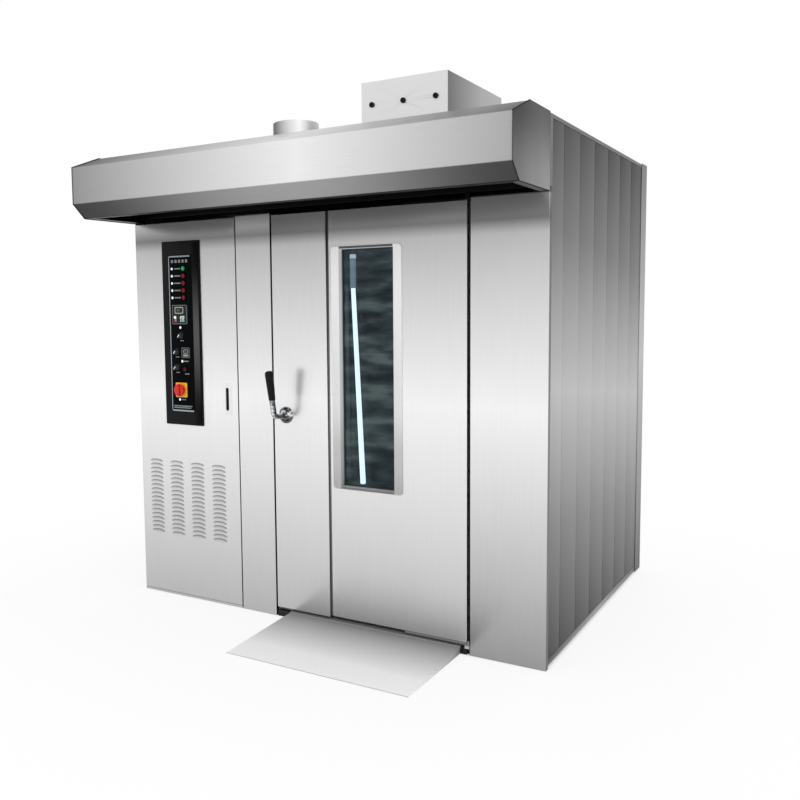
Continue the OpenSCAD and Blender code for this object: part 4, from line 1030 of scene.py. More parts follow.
@dataclass
class Hood:
    """Steam hood over the front, with its vent collar."""

    flat: float = 232.0
    lip_out: float = 337.0
    slope_top: float = 65.0
    slope_low: float = 62.0
    lip: float = 40.0
    bend: float = 6.0
    sheet: float = SHEET
    throat_in: float = 20.0
    throat_d: Tuple[float, float] = (-20.0, -130.0)
    vent_patch: float = 104.0
    # Painted reflection and painted shade across the hood's face and slopes: lightest near the middle, darker
    # towards both ends.
    face_painted_shade: PaintedShade = PaintedShade(0, ((0.0, 145.0), (1280.0, 230.0), (2190.0, 165.0)), soft=False)
    upper_painted_shade: PaintedShade = PaintedShade(0, ((0.0, 55.0), (1220.0, 215.0), (2190.0, 80.0)), soft=False)
    lower_painted_shade: PaintedShade = PaintedShade(0, ((0.0, 65.0), (1260.0, 165.0), (2190.0, 75.0)))
    end_lip: float = 40.0

    def __post_init__(self) -> None:
        """Takes the hood's reach from the frame."""
        self.low, self.high = extent("hood_shell")
        self.out = -self.low[1]
        self.top = self.high[2]
        self.steel = HoodSteel(name="hood_steel", along=0, metallic=0.3, specular=0.05, roughness=0.42,
                               painted_shades=(self.face_painted_shade,), upper=self.upper_painted_shade,
                               lower=self.lower_painted_shade, lip=self.low[2],
                               face=(self.low[2] + self.slope_low, self.top - self.slope_top))

    def line(self) -> List[Tuple[float, float]]:
        """The sheet's outside, in depth and height, from the body round to the lower lip."""
        z0 = self.low[2]
        return [(0, self.top), (-self.flat, self.top), (-self.out, self.top - self.slope_top),
                (-self.out, z0 + self.slope_low), (-self.lip_out, z0), (-self.lip_out + self.lip, z0)]

    def shell(self) -> None:
        """The bent sheet, with the openings for extractor box and vent, and the two end plates."""
        box_low, box_high = extent("roof_box")
        flange = 15.0
        back, front = self.throat_d
        throat = (box_low[0] + flange + self.throat_in, front, box_high[0] - flange - self.throat_in, back)
        vent_low, vent_high = extent("vent_collar")
        middle = (vent_low + vent_high) / 2
        reach = self.vent_patch
        patch = (middle[0] - reach, middle[1] - reach, middle[0] + reach, middle[1] + reach)
        stops = sorted([back, front, patch[1], patch[3]], reverse=True)
        path = bent(self.line(), self.bend)
        path = np.vstack([path[:1], np.column_stack([stops, np.full(len(stops), self.top)]), path[1:]])
        under = beside(path, self.sheet)
        across = np.unique([self.sheet / 2, BODY_W - self.sheet / 2, throat[0], throat[2], patch[0],
                            patch[2]])
        keep = np.ones((len(path) - 1, len(across) - 1), bool)
        mid_d = (path[1:, 0] + path[:-1, 0]) / 2
        mid_v = (across[1:] + across[:-1]) / 2
        on_top = np.arange(len(path) - 1) <= len(stops)
        for v0, d0, v1, d1 in (throat, patch):
            keep &= ~np.outer(on_top & (mid_d > d0) & (mid_d < d1), (mid_v > v0) & (mid_v < v1))
        shape = Shape().shell(drawn(path, across), drawn(under, across), keep)
        hole = ring(middle[:2], (vent_high[0] - vent_low[0]) / 2 - 14, 64)
        square = squared(patch, 64)
        shape.frame_ring([(square, self.top), (square, self.top - SHEET), (hole, self.top - SHEET),
                          (hole, self.top)], Plane.LEVEL)
        piece("hood_sheet", shape, self.steel, "hood_shell", ["hood_shell"])
        outline = np.array([*self.line()[:5], (0, self.low[2])])
        ends = Shape()
        ends.prism(outline, 0, self.sheet, Plane.SIDE, 0.7)
        ends.prism(outline, BODY_W - self.sheet, BODY_W, Plane.SIDE, 0.7)
        # Painted shade on the hood's end plates: darker upwards and towards the front.
        steel = BrushedSteel(name="hood_end_steel", metallic=0.15, specular=0.03, painted_shades=(
            PaintedShade(2, ((1923.0, 138.0), (2220.0, 70.0))), PaintedShade(1, ((-405.0, 210.0), (-200.0, 240.0), (0.0, 250.0)))))
        piece("hood_end_plates", ends, steel, "hood_shell")
        z0 = self.low[2]
        lips = Shape()
        for inner, outer in ((self.end_lip, 1.0), (BODY_W - self.end_lip, BODY_W - 1.0)):
            plan = np.array([(outer, -self.lip_out + 1), (inner, -self.lip_out + self.lip), (inner, -1.0),
                             (outer, -1.0)])
            lips.prism(plan if inner < outer else plan[::-1], z0 - 0.2, z0 + 1.0, Plane.LEVEL, 0.2, 1)
        # Painted shade on the lips under the hood's ends: dark grey, darkest at the back.
        piece("hood_end_lips", lips, BrushedSteel(name="end_lip_steel", along=1, metallic=0.3, specular=0.1,
                                                  painted_shades=(
            PaintedShade(1, ((-337.0, 84.0), (-60.0, 96.0), (0.0, 70.0))),)), "hood_shell")

    def lining(self) -> None:
        """Painted shadow inside the hood: a near-black skin along the sheet from the top's front edge to the lip,
        where there is only shade.
        """
        path = beside(bent([self.line()[1], *self.line()[2:]], self.bend), self.sheet + 0.3)
        under = beside(path, 0.5)
        across = np.array([self.sheet + 1, BODY_W - self.sheet - 1])
        shape = Shape().shell(drawn(path, across), drawn(under, across), np.ones((len(path) - 1, 1), bool))
        outline = moved(np.array([*self.line()[:5], (0, self.low[2])])[::-1], self.sheet + 1.5)[::-1]
        for v in (self.sheet + 0.3, BODY_W - self.sheet - 0.8):
            shape.prism(outline, v, v + 0.5, Plane.SIDE, 0.1, 1)
        piece("hood_shadow_skin", shape, SHADOW_STEEL, "hood_shell")

    def collar(self) -> None:
        """The vent collar: a turned tube with a rolled rim and a base ring; the damper hangs in it."""
        low, high = extent("vent_collar")
        middle = (low + high) / 2
        flange_r = (high[0] - low[0]) / 2
        r = flange_r - 12
        wall = 1.5
        bead = [(r - 4 + 4 * math.cos(t), high[2] - 4 + 4 * math.sin(t)) for t in np.radians([0, 30, 60, 90,
                                                                                              130, 180])]
        profile = [(r - 2.3, low[2]), (r - 2.3, self.top - 1), (r - 2.3, self.top), (flange_r, self.top),
                   (flange_r, self.top + 2), (r + 3, self.top + 2.2), (r, self.top + 5), *bead,
                   (r - 8, high[2] - 7), (r - 2.3 - wall, high[2] - 9), (r - 2.3 - wall, low[2])]
        shape = Shape().turned(profile, middle[:2], Plane.LEVEL, 72, closed=True)
        piece("flue_collar", shape, COLLAR, "vent_collar", ["vent_collar"])
        dress("vent_damper", COLLAR)

    def build(self) -> None:
        """Makes the hood's pieces."""
        self.shell()
        self.lining()
        self.collar()


@dataclass
class RoofDrive:
    """What stands on the roof: extractor box, rack gearmotor and fan motor."""

    fins: int = 28

    def finned(self, radius: float, depth: float) -> Array:
        """A motor's outline: radius − depth where cos(fins · t) is low, radius where it is high."""
        t = np.linspace(0, 2 * math.pi, self.fins * 6, endpoint=False)
        r = radius - depth * (np.cos(self.fins * t) < 0.1)
        return np.column_stack([r * np.cos(t), r * np.sin(t)])

    def fan_motor(self) -> None:
        """The circulation fan's motor: base plate, flange, finned body, cowl with rings and terminal box."""
        low, high = extent("fan_motor")
        roof = low[2]
        v, d = low[0] + 130, low[1] + 130
        at = (v, d)
        shape = Shape().prism(rounded((low[0], low[1], low[0] + 260, high[1]), 8), roof, roof + 8,
                              Plane.LEVEL)
        shape.turned([(12, roof + 8), (100, roof + 8), (100, roof + 20), (97, roof + 23), (12, roof + 23)],
                     at,
                     Plane.LEVEL, closed=True)
        shape.prism(self.finned(84, 7) + at, roof + 23, roof + 129, Plane.LEVEL, 0.6)
        top = high[2]
        shape.turned([(88, roof + 127), (88, top - 8), (85, top - 3), (78, top), (60, top), (60, top - 3),
                      (52, top - 3), (52, top), (40, top), (40, top - 3), (32, top - 3), (32, top),
                      (20, top)], at,
                     Plane.LEVEL)
        shape.box((v + 60, d - 40, roof + 50), (high[0], d + 40, roof + 104), 4, Plane.LEVEL)
        shape.turned([(9, high[0] - 14), (9, high[0] - 2), (7, high[0])], (d + 22, roof + 60), Plane.SIDE, 24)
        piece("fan_motor_body", shape, ENAMEL, "fan_motor", ["fan_motor"])

    def gearmotor(self) -> None:
        """The rack's gearmotor: gear housing on two brackets, round cover, finned motor and terminal box."""
        low, high = extent("rotor_gearmotor")
        v = (low[0] + high[0]) / 2
        roof = low[2]
        d = high[1] - 328
        z0 = roof + 42
        axis = (v, z0 + 56)
        shape = Shape().box((v - 80, d - 70, z0), (v + 80, d + 90, z0 + 101), 7)
        shape.box((v - 68, d - 58, z0 + 98), (v + 68, d + 78, z0 + 104), 2, Plane.LEVEL)
        for side in (-1, 1):
            x0, x1 = sorted((v + side * 79, v + side * 100))
            shape.box((x0, d - 60, roof), (x1, d + 80, z0 + 20), 2)
        shape.turned([(62, d + 84), (62, d + 96), (58, d + 100), (10, d + 100)], axis, Plane.FRONT)
        shape.prism(self.finned(62, 5) + axis, d + 99, d + 299, Plane.FRONT, 0.6)
        back = high[1]
        shape.turned([(66, d + 297), (66, back - 7), (62, back - 2), (56, back), (40, back), (40, back - 3),
                      (30, back - 3), (30, back), (16, back)], axis, Plane.FRONT)
        shape.box((v + 40, d + 130, z0 + 30), (v + 92, d + 230, z0 + 92), 4)
        piece("gearmotor_body", shape, ENAMEL, "rotor_gearmotor", ["rotor_gearmotor"])

    def build(self) -> None:
        """Makes and dresses what stands on the roof."""
        self.fan_motor()
        self.gearmotor()
        # Painted highlight and shade on the extractor box: a light line along the front edge, dark behind it,
        # lightening towards the back.
        steel = BrushedSteel(name="box_steel", along=0, painted_shades=(PaintedShade(1, (
            (-143.0, 220.0), (-139.0, 100.0), (200.0, 165.0), (433.0, 175.0)), soft=False),))
        dress("roof_box", steel, 0.9)
        dress("roof_bolts", BLACK_OXIDE, 1.0)
        dress("rotor_shaft", CHROME, 1.0)
        dress("rotor_bearing", CAST, 1.5)
        dress("extractor_fan", BLACK_OXIDE, 0.5)
        dress("extractor_motor", ENAMEL, 1.5)


@dataclass
class Louvres:
    """The pressed air slots of the service door: each a hood of sheet over a slot, open downwards."""

    columns: int = 4
    rows: int = 18
    first_v: float = 62.0
    first_z: float = 328.0
    pitch_v: float = 137.5
    pitch_z: float = 21.8
    width: float = 84.0
    proud: float = 7.0
    top: float = 9.0
    lip: float = -4.4
    metal: float = 1.0
    arch: float = 8.0
    slot_half: float = 3.0

    def places(self) -> List[Tuple[float, float]]:
        """Left edge and middle height of every louvre."""
        return [(self.first_v + i * self.pitch_v, self.first_z + j * self.pitch_z)
                for i in range(self.columns) for j in range(self.rows)]

    def slots(self) -> List[Rect]:
        """The openings that the louvres cover."""
        return [(v + 12, z - self.slot_half, v + self.width - 12, z + self.slot_half) for v,
                z in self.places()]

    def surface(self, proud: float, lift: float) -> Array:
        """One louvre's face on a grid over its width and its height.

        With s from 0 to 1 across and w from 0 at the top to 1 at the lip, swell = (1 − |2s − 1|^5)^0.5
        rounds the
        ends; the face stands proud · swell · sin(w · 80°) in front of the sheet, and its height falls from
        the top,
        which is arch · |2s − 1|³ lower, to the lip.

        Args:
            proud: how far the middle stands out.
            lift: how far the lip is raised.

        Returns:
            (across, down, 3) points of v, d and z for a louvre at v = 0 and z = 0.
        """
        s = (1 - np.cos(np.linspace(0, math.pi, 13))) / 2
        w = np.linspace(0, 1, 5)
        swell = np.sqrt(1 - np.abs(2 * s - 1) ** 5)[:, None]
        depth = -proud * swell * np.sin(np.radians(80) * w)[None, :]
        top = self.top - self.arch * np.abs(2 * s - 1)[:, None] ** 3
        height = top + (self.lip + lift - top) * w[None, :]
        return np.stack([np.broadcast_to(s[:, None] * self.width, depth.shape), depth, height], -1)

    def add_to(self, shape: Shape) -> None:
        """Puts all the louvres on a shape."""
        outer = self.surface(self.proud, 0.0)
        inner = self.surface(self.proud - self.metal, 0.0)
        inner[..., 1] += self.metal * 0.6
        keep = np.ones((outer.shape[0] - 1, outer.shape[1] - 1), bool)
        for v, z in self.places():
            shape.shell(outer + [v, 0.1, z], inner + [v, 0.1, z], keep)


@dataclass
class ServiceDoor:
    """The service cabinet's door with its louvres, control panel and pull."""

    louvres: Louvres = field(default_factory=Louvres)
    margin: float = 14.0
    strip: float = 45.0
    digit_h: float = 12.5
    finger_lean: float = -38.0
    controller: Tuple[float, float, float] = (304.0, 1455.0, 48.0)
    timer: Tuple[float, float, float] = (336.0, 1264.0, 26.0)
    timer_legend: Rect = (319.0, 1218.0, 352.0, 1224.0)

    def __post_init__(self) -> None:
        """Takes the places of door and panel from the frame."""
        self.low, self.high = extent("service_door")
        self.panel_low, self.panel_high = extent("control_panel")
        self.plate_low, self.plate_high = extent("instrument_plate")
        self.face = -14.0

    def middle(self, node: str) -> Tuple[float, float]:
        """Middle of a control's node across and up."""
        low, high = extent(node)
        return (low[0] + high[0]) / 2, (low[2] + high[2]) / 2

    def sheet(self) -> None:
        """The folded door sheet with its louvres."""
        m = self.margin
        pull_low, pull_high = extent("service_pull")
        holes = [(self.panel_low[0] + m, self.panel_low[2] + m, self.panel_high[0] - m,
                  self.panel_high[2] - m),
                 (pull_low[0] + 3, pull_low[2] + 6, pull_high[0] - 3, pull_high[2] - 6),
                 *self.louvres.slots()]
        shape = Shape().pan((self.low[0], self.low[2], self.high[0], self.high[2]), 0.0, self.high[1],
                            Plane.FRONT, holes)
        for z0 in (self.low[2] + 1, self.high[2] - 20):
            shape.box((self.low[0] + 1, 1, z0), (self.low[0] + 21, 21, z0 + 19), 1.5)
        steel = front_steel("cabinet_steel", 190)
        piece("cabinet_door", shape, steel, "service_door", ["service_door"])
        row = self.louvres
        vents = Shape()
        row.add_to(vents)
        piece("cabinet_louvres", vents, LouvreSteel(
            name="louvre_steel", painted_shades=steel.painted_shades[:1], start=(row.first_v, row.first_z + row.lip),
            width=row.width,
            pitch=(row.pitch_v, row.pitch_z), arch=row.arch), "service_door")

    def pull(self) -> None:
        """The recessed pull: a bright rounded rim round a dark slot."""
        low, high = extent("service_pull")
        rim = (low[0], low[2], high[0], high[2])
        tray = (low[0] + 8, low[2] + 20, low[0] + 26, high[2] - 20)
        shape = Shape()
        outer, inner = rounded(rim, 5), rounded(tray, 8)
        behind = rounded((tray[0] - 1.5, tray[1] - 1.5, tray[2] + 1.5, tray[3] + 1.5), 9)
        shape.frame_ring([(moved(outer, 1), -1.5), (outer, -0.8), (outer, 0.0), (behind, 0.3), (behind, 3),
                          (inner, 3), (inner, -0.6), (moved(inner, -0.8), -1.5)], Plane.FRONT)
        piece("pull_rim", shape, PULL_RIM, "service_pull", ["service_pull"])
        cup = Shape().frame_ring([(behind, 0.4), (behind, 14.5), (moved(behind, 1.2), 14.5),
                                  (moved(behind, 1.2), 0.4)],
                                 Plane.FRONT)
        cup.prism(behind, 14.5, 16.0, Plane.FRONT, 0.5)
        piece("finger_cup", cup, BLACK, "service_pull")

    def housing(self) -> None:
        """The panel's housing: a moulded box whose right side is a long bevel."""
        low, high = self.panel_low, self.panel_high
        plan = bent([(low[0], 0.0), (low[0], low[1]), (high[0] - self.strip, low[1]),
                     (high[0] - 4, low[1] + 4),
                     (high[0], 0.0)], 2.5, 4)
        t = np.radians([0, 30, 60, 90])
        ends = [(low[2] + 3 * (1 - math.cos(a)), 3 * (1 - math.sin(a))) for a in t]
        ends += [(high[2] - (z - low[2]), inset) for z, inset in ends[::-1]]
        rings = []
        for z, inset in ends:
            flat = plan.copy()
            flat[:, 0] = np.clip(flat[:, 0], low[0] + inset, high[0] - inset)
            flat[:, 1] = np.where(flat[:, 1] < 0, np.maximum(flat[:, 1], low[1] + inset), flat[:, 1])
            rings.append(np.column_stack([flat, np.full(len(flat), z)]))
        shape = Shape().loft(np.stack(rings))
        finish = Lacquer(name="panel_housing", colour=(12, 12, 13), roughness=0.38, coat=0.03, specular=0.1)
        piece("panel_housing_moulding", shape, finish, "control_panel", ["control_panel"])
        bevel = Shape().prism(np.array([(high[0] - self.strip + 1, low[2] + 8), (high[0] - 7, low[2] + 8),
                                        (high[0] - 7, high[2] - 8), (high[0] - self.strip + 1, high[2] - 8)]),
                              low[1] - 0.3, low[1] + 0.5, Plane.FRONT, 0.2)
        # Painted reflection on the panel's bevel strip: near black at both ends, lighter in its lower middle.
        painted_shade = PaintedShade(2, ((low[2] + 50, 10.0), (low[2] + 450, 85.0), (high[2] - 100, 10.0)))
        piece("panel_side_strip", bevel, BrushedSteel(name="bevel_strip_painted_reflection", metallic=0.5, roughness=0.5,
                                                      specular=0.1, painted_shades=(painted_shade,)), "control_panel")

    def plate(self) -> None:
        """The instrument plate with its border line and the bezels of the buttons."""
        low, high = self.plate_low, self.plate_high
        face = self.face
        shape = Shape().prism(rounded((low[0], low[2], high[0], high[2]), 2), face, -12.0, Plane.FRONT, 0.5)
        for name in (*BUTTONS, "stop_button"):
            at = self.middle(name)
            shape.turned([(14, face + 0.5), (14, face - 2.6), (13.2, face - 3.7), (12, face - 4),
                          (11, face - 3.4),
                          (11, face + 0.5)], at, Plane.FRONT, 32, closed=True)
        piece("instrument_face", shape, FOIL, "instrument_plate", ["instrument_plate"])
        line = Shape()
        v0, z0, z1 = low[0] + 3, low[2] + 5, high[2] - 5
        v1 = high[0] - 8
        for rect in ((v0, z0, v0 + 5, z1), (v0, z1 - 7, v1, z1), (v0, z0, v1 + 4, z0 + 8)):
            line.prism(rounded(rect, 1, 2), face - 0.4, face + 0.3, Plane.FRONT, 0.15, 1)
        piece("plate_border_line", line, LINE, "instrument_plate")

    def legends(self) -> None:
        """Blank pale strips where such a plate is printed."""
        face = self.face
        strips = []
        for name in BUTTONS:
            v, z = self.middle(name)
            strips.append((v - 64, z - 3, v - 24, z + 3))
        for name in SELECTORS:
            v, z = self.middle(name)
            strips.append((v - 8, z - 27, v + 16, z - 23))
        v, z = self.middle("stop_button")
        strips.append((v - 6, z - 26, v + 22, z - 21))
        v, z = self.middle("isolator_plate")
        strips.append((v - 2, z - 51, v + 26, z - 47))
        low, high = self.plate_low, self.plate_high
        strips += [(low[0] + 21 + 23 * k, high[2] - 40, low[0] + 35 + 23 * k, high[2] - 25) for k in range(5)]
        strips.append(self.timer_legend)
        strips += [(low[0] + 16, low[2] + 30 - 9 * k, high[0] - 14 - 8 * k,
                    low[2] + 35 - 9 * k) for k in range(2)]
        shape = Shape()
        for rect in strips:
            shape.prism(rounded(rect, 1, 2), face - 0.3, face + 0.2, Plane.FRONT, 0.1, 1)
        piece("blank_legends", shape, replace(INK, name="legend_print", colour=(120, 128, 128)),
              "instrument_plate")

    def segments(self, digits: str, v: float, z: float, face: float, height: float) -> Shape:
        """Seven-segment numbers.

        Args:
            digits: the number to show.
            v: left edge of the first digit.
            z: lower edge.
            face: depth of the display.
            height: the digits' height.

        Returns:
            A shape with a bar for each lit segment.
        """
        lit = {"0": "abcdef", "1": "bc", "2": "abdeg", "5": "acdfg", "8": "abcdefg"}
        w, t = height * 0.55, height * 0.13
        bars = {"a": (0, height - t, w, height), "d": (0, 0, w, t),
                "g": (0, (height - t) / 2, w, (height + t) / 2),
                "b": (w - t, height / 2, w, height), "c": (w - t, 0, w, height / 2),
                "e": (0, 0, t, height / 2), "f": (0, height / 2, t, height)}
        shape = Shape()
        for k, digit in enumerate(digits):
            left = v + k * height * 0.8
            for name in lit[digit]:
                a0, b0, a1, b1 = bars[name]
                shape.prism(rounded((left + a0, z + b0, left + a1, z + b1), t * 0.3, 1), face - 0.3,
                            face + 0.2,
                            Plane.FRONT, 0.1, 1)
        return shape

    def meters(self) -> None:
        """Temperature controller, timer and the pilot lenses."""
        face = self.face
        cv, cz, half = self.controller
        tv, tz, small = self.timer
        front = face - 5
        case = Shape()
        for v, z, r, rim in ((cv, cz, half, 4.0), (tv, tz, small, 3.5)):
            outer = rounded((v - r, z - r, v + r, z + r), 4)
            inner = rounded((v - r + rim, z - r + rim, v + r - rim, z + r - rim), 2)
            case.frame_ring([(moved(outer, 1), front), (outer, front + 1), (outer, face + 2),
                             (inner, face + 2),
                             (inner, front + 0.5), (moved(inner, -0.6), front)], Plane.FRONT)
        piece("meter_frames", case, BEZEL, "instruments", ["instruments"])
        glass = Shape()
        for v, z, r in ((cv, cz, half - 4), (tv, tz, small - 3.5)):
            glass.prism(rounded((v - r, z - r, v + r, z + r), 2), front + 2.4, face + 2, Plane.FRONT, 0.3)
        piece("meter_faces", glass, GLASS_DARK, "instruments")
        rims = Shape()
        for rect, wide in (((cv - 32, cz + 4, cv + 24, cz + 38), 5.0),
                           ((tv - 15, tz - 4, tv + 15, tz + 16), 3.0)):
            outer = rounded(rect, 6)
            inner = rounded((rect[0] + wide, rect[1] + wide, rect[2] - wide, rect[3] - wide), 3)
            rims.frame_ring([(moved(outer, 0.4), front + 1.2), (outer, front + 1.8), (outer, front + 3),
                             (inner, front + 3), (inner, front + 1.8), (moved(inner, -0.4), front + 1.2)],
                            Plane.FRONT)
        rims.prism(rounded((tv - 16, tz - 18, tv + 16, tz - 9), 2), front + 1.2, front + 3, Plane.FRONT, 0.4)
        piece("display_rims", rims, replace(BEZEL, name="pale_bezel", colour=(150, 158, 148)), "instruments")
        keys = Shape().prism(rounded((cv - 38, cz - 21, cv - 23, cz - 8), 3), front + 0.8, front + 3,
                             Plane.FRONT,
                             0.6)
        for name in BUTTONS:
            v, z = self.middle(name)
            self.lens(keys, v - 78.5, z)
        for v, z in ((cv, cz - 65), (cv + 7, cz - 234), (cv - 15, cz - 428)):
            self.lens(keys, v, z)
        piece("pilot_lenses", keys, PALE, "instruments")
        shown = front + 2.4
        piece("upper_digits", self.segments("188", cv - 24, cz + 15, shown, 11), replace(
            MINT, name="dim_digits", colour=(104, 122, 108), strength=0.1), "instruments")
        white = self.segments("250", cv + 2, cz - 20, shown, self.digit_h)
        piece("white_digits", white, replace(PALE, name="white_digits_lit", strength=0.6), "instruments")
        piece("mint_digits", self.segments("205", cv + 2, cz - 36, shown, self.digit_h), MINT, "instruments")
        red = self.segments("10", cv - 39, cz - 36, shown, self.digit_h)
        piece("red_digits", red, PINK, "instruments")
        piece("timer_digits", self.segments("20", tv - 8, tz + 2, shown, 8), replace(
            MINT, name="timer_lit", colour=(96, 112, 112), strength=0.1), "instruments")

    def lens(self, shape: Shape, v: float, z: float) -> None:
        """Adds a small domed lens."""
        face = self.face
        shape.turned([(6.5, face + 0.5), (6.5, face - 0.6), (5.6, face - 1.6), (3.2, face - 2.2)], (v, z),
                     Plane.FRONT, 24)

    def push_button(self, node: str, finish: Finish) -> None:
        """A button with a dished head and its stem."""
        low, high = extent(node)
        at = self.middle(node)
        f = low[1]
        shape = Shape().turned([(5, high[1] - 1.5), (5, f + 4), (10.2, f + 4), (10.5, f + 3.4), (10.5, f + 1),
                                (9.6, f + 0.2), (8.4, f), (4, f + 0.5)], at, Plane.FRONT, 36)
        piece(f"{node}_cap", shape, finish, node, [node])

    def selector(self, node: str) -> None:
        """A rotary switch: skirt, tapered body, finger bar and a pale pointer line."""
        low, high = extent(node)
        v, z = self.middle(node)
        f = low[1]
        shape = Shape().turned([(5, high[1]), (5, f + 20), (14, f + 20), (14, f + 16.4), (13, f + 15.4),
                                (12, f + 15), (11, f + 4), (10, f + 3), (4, f + 3)], (v, z), Plane.FRONT, 36)
        turn = math.radians(self.finger_lean)
        way = np.array([[math.cos(turn), math.sin(turn)], [-math.sin(turn), math.cos(turn)]])
        shape.prism(rounded((-3, -11, 3, 11), 2.4) @ way + (v, z), f, f + 11, Plane.FRONT, 1.0)
        piece(f"{node}_knob", shape, BLACK, node, [node])
        line = Shape().prism(rounded((-2, -10.5, 1, 7), 0.8, 2) @ way + (v, z), f - 0.2, f + 0.5, Plane.FRONT,
                             0.1, 1)
        # Painted glow: the pointer line takes the pilot lenses' glowing finish, though it is only print.
        piece(f"{node}_pointer", line, replace(PALE, name="pointer_white"), node)

    def dials(self) -> None:
        """Scale marks round the rotary switches, each a short bar at its angle."""
        shape = Shape()
        for name in SELECTORS:
            v, z = self.middle(name)
            for angle in np.radians([30, 60, 90, 120, 150]):
                bar = np.array([(17, -0.6), (21, -0.6), (21, 0.6), (17, 0.6)])
                turn = np.array([[math.cos(angle), -math.sin(angle)], [math.sin(angle), math.cos(angle)]])
                shape.prism(bar @ turn.T + (v, z), self.face - 0.3, self.face + 0.2, Plane.FRONT, 0.1, 1)
        piece("dial_marks", shape, replace(INK, name="dial_print", colour=(96, 100, 100)), "instrument_plate")

    def isolator(self) -> None:
        """The main switch: yellow plate, and a red knob with a finger bar."""
        low, high = extent("isolator_plate")
        shape = Shape().prism(rounded((low[0], low[2], high[0], high[2]), 6), low[1], high[1], Plane.FRONT,
                              1.2, 3)
        piece("isolator_plate_moulding", shape, YELLOW, "isolator_plate", ["isolator_plate"])
        low, high = extent("isolator_knob")
        v, z = self.middle("isolator_knob")
        f = low[1]
        r = (high[0] - low[0]) / 2
        shape = Shape().turned([(5, high[1]), (5, f + 28.5), (r - 9, f + 28.5), (r - 8, f + 17),
                                (r - 1, f + 15),
                                (r, f + 13), (r - 1, f + 9), (r - 3, f + 7.4), (r - 6, f + 7), (6, f + 7)],
                               (v, z), Plane.FRONT, 48)
        shape.prism(rounded((v - 8, z - 28, v + 8, z + 28), 7), f, f + 10, Plane.FRONT, 1.5, 3)
        piece("isolator_knob_moulding", shape, KNOB_RED, "isolator_knob", ["isolator_knob"])

    def build(self) -> None:
        """Makes the door and everything on it."""
        self.sheet()
        self.pull()
        self.housing()
        self.plate()
        self.legends()
        self.dials()
        self.meters()
        for name, finish in zip((*BUTTONS, "stop_button"), (GREEN, RED, RED, RED, RED, DARK_RED)):
            self.push_button(name, finish)
        for name in SELECTORS:
            self.selector(name)
        self.isolator()
        dress("hinge_pivots", GAP_SHADE_STEEL)


